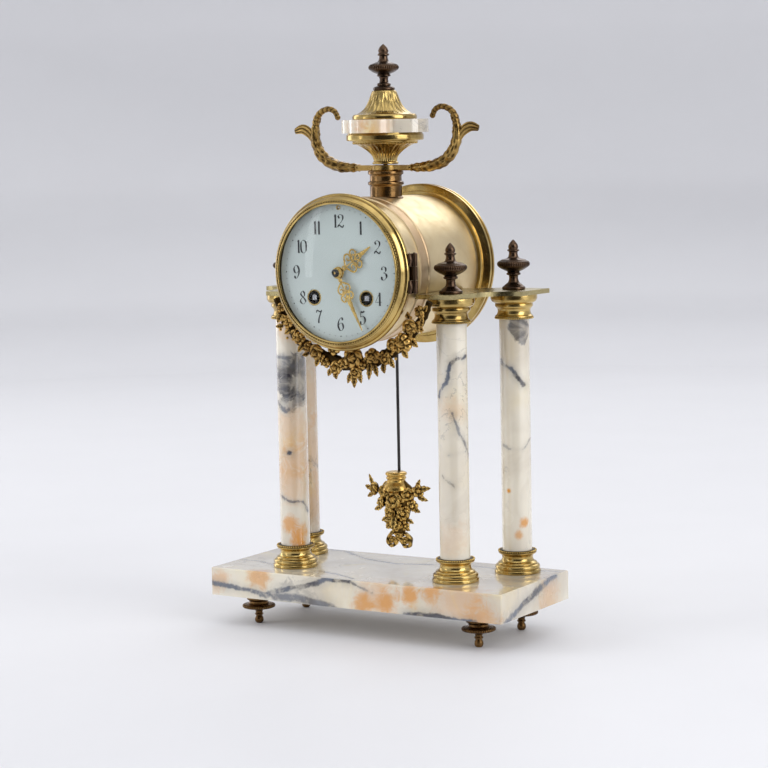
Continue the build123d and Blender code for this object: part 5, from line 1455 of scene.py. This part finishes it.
class CLOCK_OT_bob(bpy.types.Operator):
    """Model the pendulum's bob: a flower basket with a ringed neck and a ribbon bow"""

    bl_idname = "clock.bob"
    bl_label = "Bob"

    def execute(self, context):
        top = BOB_HIGH
        rod_y = middle("pendulum_rod")[1]
        y = rod_y - 4.0
        draw = np.random.default_rng(11)
        neck = raised(
            top,
            (0, -12.0, 0), (9.4, -12.0, 0.4), (8.6, -9.4, 1.2), (6.0, -6.4, 1.2), (6.1, -5.0, 0.3),
            (6.7, -4.6, 0.2), (6.7, -3.8, 0.3), (6.2, -3.4, 0.2), (6.3, -2.6, 0.4),
            (7.1, -2.1, 0.2), (7.2, -1.2, 0.4), (6.6, -0.4, 0.3), (5.4, -0.05, 0.3), (0, -0.05, 0),
        )
        shells = [turned(neck, (0, y), steps=64, gap=0.6)]
        body = raised(
            top,
            (0, -44.5, 0), (3.4, -44.0, 1), (4.4, -40.0, 2), (7.8, -31.0, 3), (10.6, -22.0, 3),
            (13.4, -15.0, 2), (12.0, -10.5, 2), (7.6, -7.0, 2), (5.8, -5.4, 1), (0, -5.2, 0),
        )
        core = turned(body, (0, 0), steps=72, gap=1.2)
        points = core[0] * (1, 0.4, 1)
        lean = np.clip((top - 8.0 - points[:, 2]) / 36, 0, 1)
        points[:, 1] += y + 0.6 + 3.0 * lean
        # Painted shade: the core behind the blossoms and leaves is darkened throughout (0.7).
        shells.append((points, core[1], np.full(len(points), 0.7)))
        blossoms = (
            (0.6, 18.5, 6.0, 6, 2.6, 5.6), (-9.0, 14.0, 4.4, 5, 0.0, 3.6),
            (9.6, 14.6, 4.6, 5, 2.2, 3.4),
            (-4.6, 27.0, 4.4, 5, 0.0, 3.2), (5.6, 27.5, 4.6, 6, 2.0, 3.0),
            (0.0, 35.5, 3.8, 5, 2.0, 2.4),
            (-17.0, 12.5, 4.8, 6, 2.0, 1.6), (16.6, 12.0, 4.6, 5, 0.0, 1.6),
            (-11.6, 21.5, 4.0, 5, 2.4, 2.0),
            (12.0, 22.0, 4.2, 5, 0.0, 2.0), (0.4, 10.5, 3.8, 5, 0.0, 5.4),
            (-6.6, 36.0, 3.0, 5, 0.0, 0.8),
            (6.0, 36.5, 3.0, 5, 0.0, 0.8),
        )
        for x, down, radius, petals, wind, forward in blossoms:
            out = (0.05 * x + draw.normal(0, 0.1), -1, draw.normal(0, 0.15))
            shells.append(flower((x, y - forward + 1.8, top - down), out, radius, petals, wind,
                draw.uniform(0, 6)))
        sprays = (
            ((-17.5, 11.0), (-0.5, 0.2, 1.0), 9.0, 3.2, 2.0),
            ((-19.0, 12.5), (-1.0, 0.3, 0.25), 6.2, 3.6, 2.0),
            ((-18.0, 15.5), (-1.0, 0.1, -0.6), 5.6, 3.4, 1.6),
            ((15.5, 11.0), (0.35, 0.2, 1.0), 7.0, 3.6, 1.8),
            ((17.0, 11.0), (1.0, 0.25, 0.12), 9.0, 4.4, 2.4),
            ((16.5, 16.0), (1.0, 0.1, -0.3), 8.0, 3.8, 2.0),
            ((12.0, 24.0), (1.0, 0.0, -0.4), 6.4, 4.0, 1.2),
            ((-12.0, 24.5), (-1.0, 0.0, -0.4), 6.0, 3.8, 1.2),
            ((8.0, 32.0), (1.0, 0.0, -0.5), 5.0, 3.4, 1.0),
            ((-8.0, 31.5), (-1.0, 0.0, -0.6), 5.0, 3.4, 1.0),
            ((5.6, 38.0), (1.0, 0.0, -0.3), 4.0, 2.8, 0.8),
            ((-5.6, 37.5), (-1.0, 0.0, -0.3), 4.0, 2.8, 0.8),
            ((0.0, 30.0), (0.0, -0.2, -1.0), 9.0, 5.0, -2.6),
            ((3.0, 22.0), (0.6, -0.2, -1.0), 7.0, 4.0, -2.4),
            ((-3.0, 22.0), (-0.6, -0.2, -1.0), 7.0, 4.0, -2.4),
        )
        for (x, down), way, length, width, forward in sprays:
            root_y = rod_y - 1.5 - 1.2 * forward if forward > 0 else y + forward
            root = (x, root_y, top - down)
            shells.append(leaf(root, way, (0, -1, 0.1), length, width, 0.1, 3, 0.8))
        count = 60
        down = draw.uniform(8.0, 40.0, count)
        wide = np.interp(down, [8, 15, 22, 31, 40], [8.0, 13.0, 11.0, 8.0, 4.6])
        x = draw.uniform(-1, 1, count) * wide
        forward = 0.4 * np.sqrt(np.maximum(wide**2 - x**2, 0)) + 0.6
        beads = np.stack([x, y + 3.0 * np.clip((down - 8) / 36, 0, 1) - forward, top - down],
            axis=-1)
        shells.append(copies(ball(1.15, 10, 7), beads))
        for index in range(26):
            way = draw.uniform(0, TAU)
            root = beads[index] + (0, 0.4, 0)
            length = draw.uniform(3.5, 6.0)
            aim = (math.cos(way), -0.25, math.sin(way))
            shells.append(leaf(root, aim, (0, -1, 0), length, 0.55 * length, 0.2, 3, 0.6))
        bow_y = rod_y - 1.2
        for side in (-1, 1):
            loop = [
                (0.8, -43.0), (4.6, -41.8), (8.4, -45.0), (8.0, -49.4), (4.8, -50.4), (2.0, -47.4),
                (0.8, -43.8),
            ]
            path = standing(smooth([(side * a, b) for a, b in loop], 8) + (0, top), bow_y)
            shells.append(tube(path, 1.1, 2.2, (0, 1, 0), 12, lambda s,
                a: 0.14 * np.cos(TAU * 5 * s + a)))
            shells.append(flower((side * 4.9, bow_y - 0.4, top - 46.4), (0, -1, 0), 2.7, 5, 1.5,
                0.4))
        shells.append(flower((0, bow_y - 1.2, top - 43.5), (0, -1, 0), 2.6, 5, 1.0))
        points, quads, cavity = joined(shells)
        back = rod_y + 2.4
        points[:, 1] = np.minimum(points[:, 1], back)
        # Painted shade: points further back than the front of the basket grow darker, but not near the
        # rod's line or in the top 9 mm.
        shade_further_back = np.clip((points[:, 1] - (y - 1.0)) / 7.0, 0, 0.6)
        shade_further_back = shade_further_back * (np.hypot(points[:, 0], points[:, 1] - y) > 7.3)
        make_piece(
            "basket_bob", [(points, quads, np.maximum(cavity, shade_further_back * (points[:, 2] < top - 9)))],
            Finishes.get("bob"), "pendulum", ("pendulum_bob",), 60,
        )
        return {"FINISHED"}


class CLOCK_OT_urn(bpy.types.Operator):
    """Turn the urn's collar, bowl, lid and finial, and cast its leafy handles"""

    bl_idname = "clock.urn"
    bl_label = "Urn"

    def execute(self, context):
        trim = context.scene.clock_ornament
        at = (0.0, URN_Y)
        b = BAR_LOW
        collar = raised(
            b,
            (0, -19.2, 0), (10.9, -19.2, 0.3), (11.4, -18.4, 0.3), (11.2, -17.4, 0.4),
            (10.4, -16.8, 0.2), (10.4, -10.0, 0.3), (10.7, -9.4, 0.2), (11.6, -9.0, 0.3),
            (11.8, -8.0, 0.5), (11.5, -7.1, 0.3), (10.6, -6.8, 0.2), (10.4, -6.2, 0.3),
            (10.3, -3.4, 0.3), (10.6, -2.6, 0.2), (11.6, -2.2, 0.3), (11.6, -0.6, 0.3),
            (11.2, -0.02, 0.1), (0, -0.02, 0),
        )
        make_piece(
            "urn_collar", [turned(collar, at, steps=128)], Finishes.get("copper"), "case",
            ("neck_collar",),
        )
        g = low_high("urn_bowl")[0][2]
        d = DISC_LOW
        bowl = raised(
            g,
            (0, 0, 0), (8.2, 0, 0.1), (8.6, 0.5, 0.3), (8.4, 1.3, 0.3), (7.6, 1.9, 0.5),
            (7.9, 4.0, 1.0), (9.2, 6.4, 1.5), (12.0, 9.0, 1.5), (15.8, 11.4, 1.5),
            (19.6, 13.2, 0.6), (20.0, 13.8, 0.2), (21.4, 14.2, 0.3), (21.6, 15.0, 0.2),
            (24.9, 15.3, 0.3), (25.2, 16.0, 0.4), (25.2, 18.8, 0.4), (24.4, 19.6, 0.4),
        ) + [(24.2, d - 0.02, 0.1), (0, d - 0.02, 0)]

        def flutes(angle, height):
            share = np.clip((height - g - 1.6) / 11.8, 0, 1)
            depth = 0.55 * np.sin(math.pi * share**0.8) ** 0.7
            lobe = np.abs(np.cos(trim.flutes * angle / 2)) ** 0.7
            tongue = 0.3 * np.cos(trim.flutes * angle) ** 8 * share
            return depth * (lobe - 1) + tongue * depth

        shells = [turned(bowl, at, steps=trim.flutes * 12, gap=0.4, relief=flutes, groove_patina_and_shade=0.7)]
        shells.append(bead_ring(at, g + 13.8, 20.5, 56, 0.8))
        make_piece("fluted_bowl", shells, Finishes.get("gilt"), "case", ("urn_bowl",))

        h = DISC_HIGH + 0.02
        lid = raised(
            h,
            (0, 0, 0), (20.6, 0, 0.1), (21.0, 0.5, 0.3), (21.0, 2.0, 0.4), (20.4, 3.2, 0.3),
            (19.2, 3.5, 0.3), (17.6, 3.9, 0.6), (15.4, 5.0, 1.5), (12.6, 7.6, 2.0),
            (10.4, 11.4, 2.0), (9.0, 15.4, 1.0),
        ) + [(8.2, LID_HIGH - 1.0, 0.4), (7.6, LID_HIGH, 0.1), (0, LID_HIGH, 0)]

        def leaves(angle, height):
            share = np.clip((height - h - 3.9) / (LID_HIGH - h - 4.6), 0, 1)
            wave = trim.flutes * angle + 1.2 * np.sin(9.0 * share) * np.cos(0.5 * trim.flutes * angle)
            depth = 0.4 * np.sin(math.pi * (0.04 + 0.94 * share)) ** 0.5 * (share > 0) * (share < 1)
            return depth * (np.abs(np.cos(wave / 2)) ** 0.8 - 1) + 0.2 * depth * np.cos(2 * wave)

        make_piece(
            "leafy_lid", [turned(lid, at, steps=trim.flutes * 12, gap=0.4, relief=leaves,
                groove_patina_and_shade=0.55)],
            Finishes.get("gilt"), "case", ("urn_lid",),
        )
        f = LID_HIGH + 0.02
        knop = raised(
            f,
            (0, 0, 0), (6.4, 0, 0.1), (7.1, 0.7, 0.4), (7.0, 1.8, 0.5), (6.0, 2.5, 0.3),
            (4.2, 3.0, 0.3), (4.6, 3.7, 0.4), (4.3, 4.6, 0.3), (3.0, 5.2, 0.4), (2.7, 7.6, 0.8),
            (3.2, 8.8, 0.3), (4.5, 9.3, 0.3), (4.3, 10.2, 0.3), (4.0, 10.6, 0.3), (7.4, 12.0, 1.5),
            (9.8, 13.9, 0.9), (10.0, 15.4, 0.8), (8.8, 16.8, 0.4), (7.8, 17.1, 0.3),
            (6.2, 17.8, 0.5), (3.6, 18.6, 0.8), (2.8, 20.6, 0.8), (2.7, 22.2, 0.3),
            (3.7, 22.6, 0.2), (3.7, 23.6, 0.3), (2.9, 24.1, 0.2), (3.5, 25.4, 0.9),
            (2.6, 27.8, 1.4), (0.6, 29.6, 0.3), (0, 29.98, 0),
        )
        relief = gadroon(trim.gadroons, f + 13.4, f + 17.2, 0.3)
        make_piece(
            "urn_knop", [turned(knop, at, steps=264, gap=0.5, relief=relief)],
            Finishes.get("bronze"), "case",
            ("urn_finial",),
        )
        make_piece(
            "leaf_handles", self.handles(b), Finishes.get("cast"), "case",
            ("urn_handles",)
        )
        return {"FINISHED"}

    def handles(self, b):
        """Each handle is a grooved stem, a beaded curl and a leaf that breaks away."""
        y = URN_Y
        thick, bar_depth, reach = 3.68, 7.0, 21
        half = thick / 2
        bar = standing(np.stack([np.linspace(-reach, reach, 15), np.full(15, b + half)], -1), y)
        flat, quads, cavity = tube(bar, 1.5 * half, 4.2, (0, 1, 0), 28)
        flat[:, 2] = np.clip(flat[:, 2], b + 0.02, b + thick)
        flat[:, 1] = np.clip(flat[:, 1], y - bar_depth / 2, y + bar_depth / 2)
        shells = [(flat, quads, cavity)]
        boss = raised(
            b,
            (0, 0.02, 0), (8.8, 0.02, 0.1), (9.1, 0.5, 0.3), (9.1, 3.2, 0.3), (8.8, 3.68, 0.2),
            (0, 3.68, 0),
        )
        shells.append(turned(boss, (0, y), steps=96))
        stem = [(19.5, 1.9), (28.0, 2.2), (37.0, 3.4), (45.8, 7.4), (51.8, 14.5), (54.0, 24.0),
            (53.0, 32.5)]
        curl = [(53.4, 29.0), (52.6, 34.0), (49.0, 38.6), (43.0, 40.6), (38.2, 38.8), (36.0, 35.0)]
        spray = [(50.8, 13.0), (54.2, 19.0), (58.0, 24.6), (63.4, 27.6), (69.6, 26.4)]

        def grooved(s, a):
            groove = np.abs(np.cos(2.5 * a + 5 * s)) ** 0.7 - 1
            return 0.17 * groove + 0.06 * np.cos(TAU * 11 * s)

        def beaded(s, a):
            return 0.17 * (np.abs(np.cos(math.pi * 9 * s + 0.6 * np.cos(a))) ** 0.6 - 1)

        def ribbed(s, a):
            return 0.13 * (np.cos(7 * a) - 1) * (0.3 + s)

        for side in (-1, 1):

            def lay(route, steps=8):
                return standing(smooth([(side * x, b + z) for x, z in route], steps), y)

            path = lay(stem)
            share = np.linspace(0, 1, len(path))
            swell = 1.9 + 1.7 * np.sin(math.pi * share**0.8) + 0.35 * np.sin(TAU * 3 * share) ** 2
            shells.append(tube(path, swell, swell * 1.25, (0, 1, 0), 24, grooved))
            path = lay(curl, 12)
            share = np.linspace(0, 1, len(path))
            shells.append(
                tube(path, 2.4 - 0.7 * share, 3.0 - 1.0 * share, (0, 1, 0), 20, beaded)
            )
            shells.append(copies(ball(1.9, 14, 10), path[-1:]))
            path = lay(spray, 10)
            share = np.linspace(0, 1, len(path))
            broad = 1.5 + 1.7 * np.sin(math.pi * share**1.6) + 0.4 * share
            shells.append(tube(path, broad, 1.9 - 0.8 * share, (0, 1, 0), 28, ribbed))
            for place, lift, length, width in (
                ((21.5, 1.9), (1.0, 0.05), 10.0, 6.0), ((33.0, 2.4), (1.0, 0.35), 11.0, 5.6),
                ((43.0, 4.8), (0.8, 0.75), 11.5, 6.0), ((49.0, 10.5), (0.5, 1.0), 12.0, 5.6),
                ((53.0, 20.0), (0.06, 1.0), 11.0, 5.0), ((53.2, 30.0), (-0.3, 1.0), 8.0, 4.4),
            ):
                for face in (-1, 1):
                    root = (side * place[0], y + face * 1.6, b + place[1])
                    way = (side * lift[0], 0.03 * face, lift[1])
                    shells.append(leaf(root, way, (0, face, 0), length, width * 0.72, 0.04, 4, 0.9))
            ring = [(side * across, y, b + 1.9) for across in (19.1, 20.0, 20.9)]
            shells.append(tube(ring, (1.9, 2.4, 1.9), (3.4, 3.9, 3.4), (0, 1, 0), 24))
        return shells


class CLOCK_PT_panel(bpy.types.Panel):
    """Lists the clock's operators and settings"""

    bl_idname = "CLOCK_PT_panel"
    bl_label = "Portico Clock"
    bl_space_type = "VIEW_3D"
    bl_region_type = "UI"
    bl_category = "Clock"

    def draw(self, context):
        for operation in OPERATIONS:
            self.layout.operator("clock." + operation)
        for group, label in GROUPS.items():
            box = self.layout.box()
            box.label(text=label.__doc__)
            for key in label.__annotations__:
                box.prop(getattr(context.scene, group), key)


GROUPS = {
    "clock_stone": ClockStone,
    "clock_metal": ClockMetal,
    "clock_ornament": ClockOrnament,
    "clock_stage": ClockStage,
}
OPERATORS = (
    CLOCK_OT_stage,
    CLOCK_OT_marble,
    CLOCK_OT_finishes,
    CLOCK_OT_columns,
    CLOCK_OT_bezel,
    CLOCK_OT_dial,
    CLOCK_OT_hands,
    CLOCK_OT_garland,
    CLOCK_OT_bob,
    CLOCK_OT_urn,
)
OPERATIONS = [operator.bl_idname.split(".")[1] for operator in OPERATORS]


def register():
    for kind in (*GROUPS.values(), *OPERATORS, CLOCK_PT_panel):
        bpy.utils.register_class(kind)
    for name, kind in GROUPS.items():
        setattr(bpy.types.Scene, name, bpy.props.PointerProperty(type=kind))


def unregister():
    for name in GROUPS:
        delattr(bpy.types.Scene, name)
    for kind in reversed((*GROUPS.values(), *OPERATORS, CLOCK_PT_panel)):
        bpy.utils.unregister_class(kind)


def main():
    register()
    for operation in OPERATIONS:
        getattr(bpy.ops.clock, operation)()


if __name__ == "__main__":
    main()
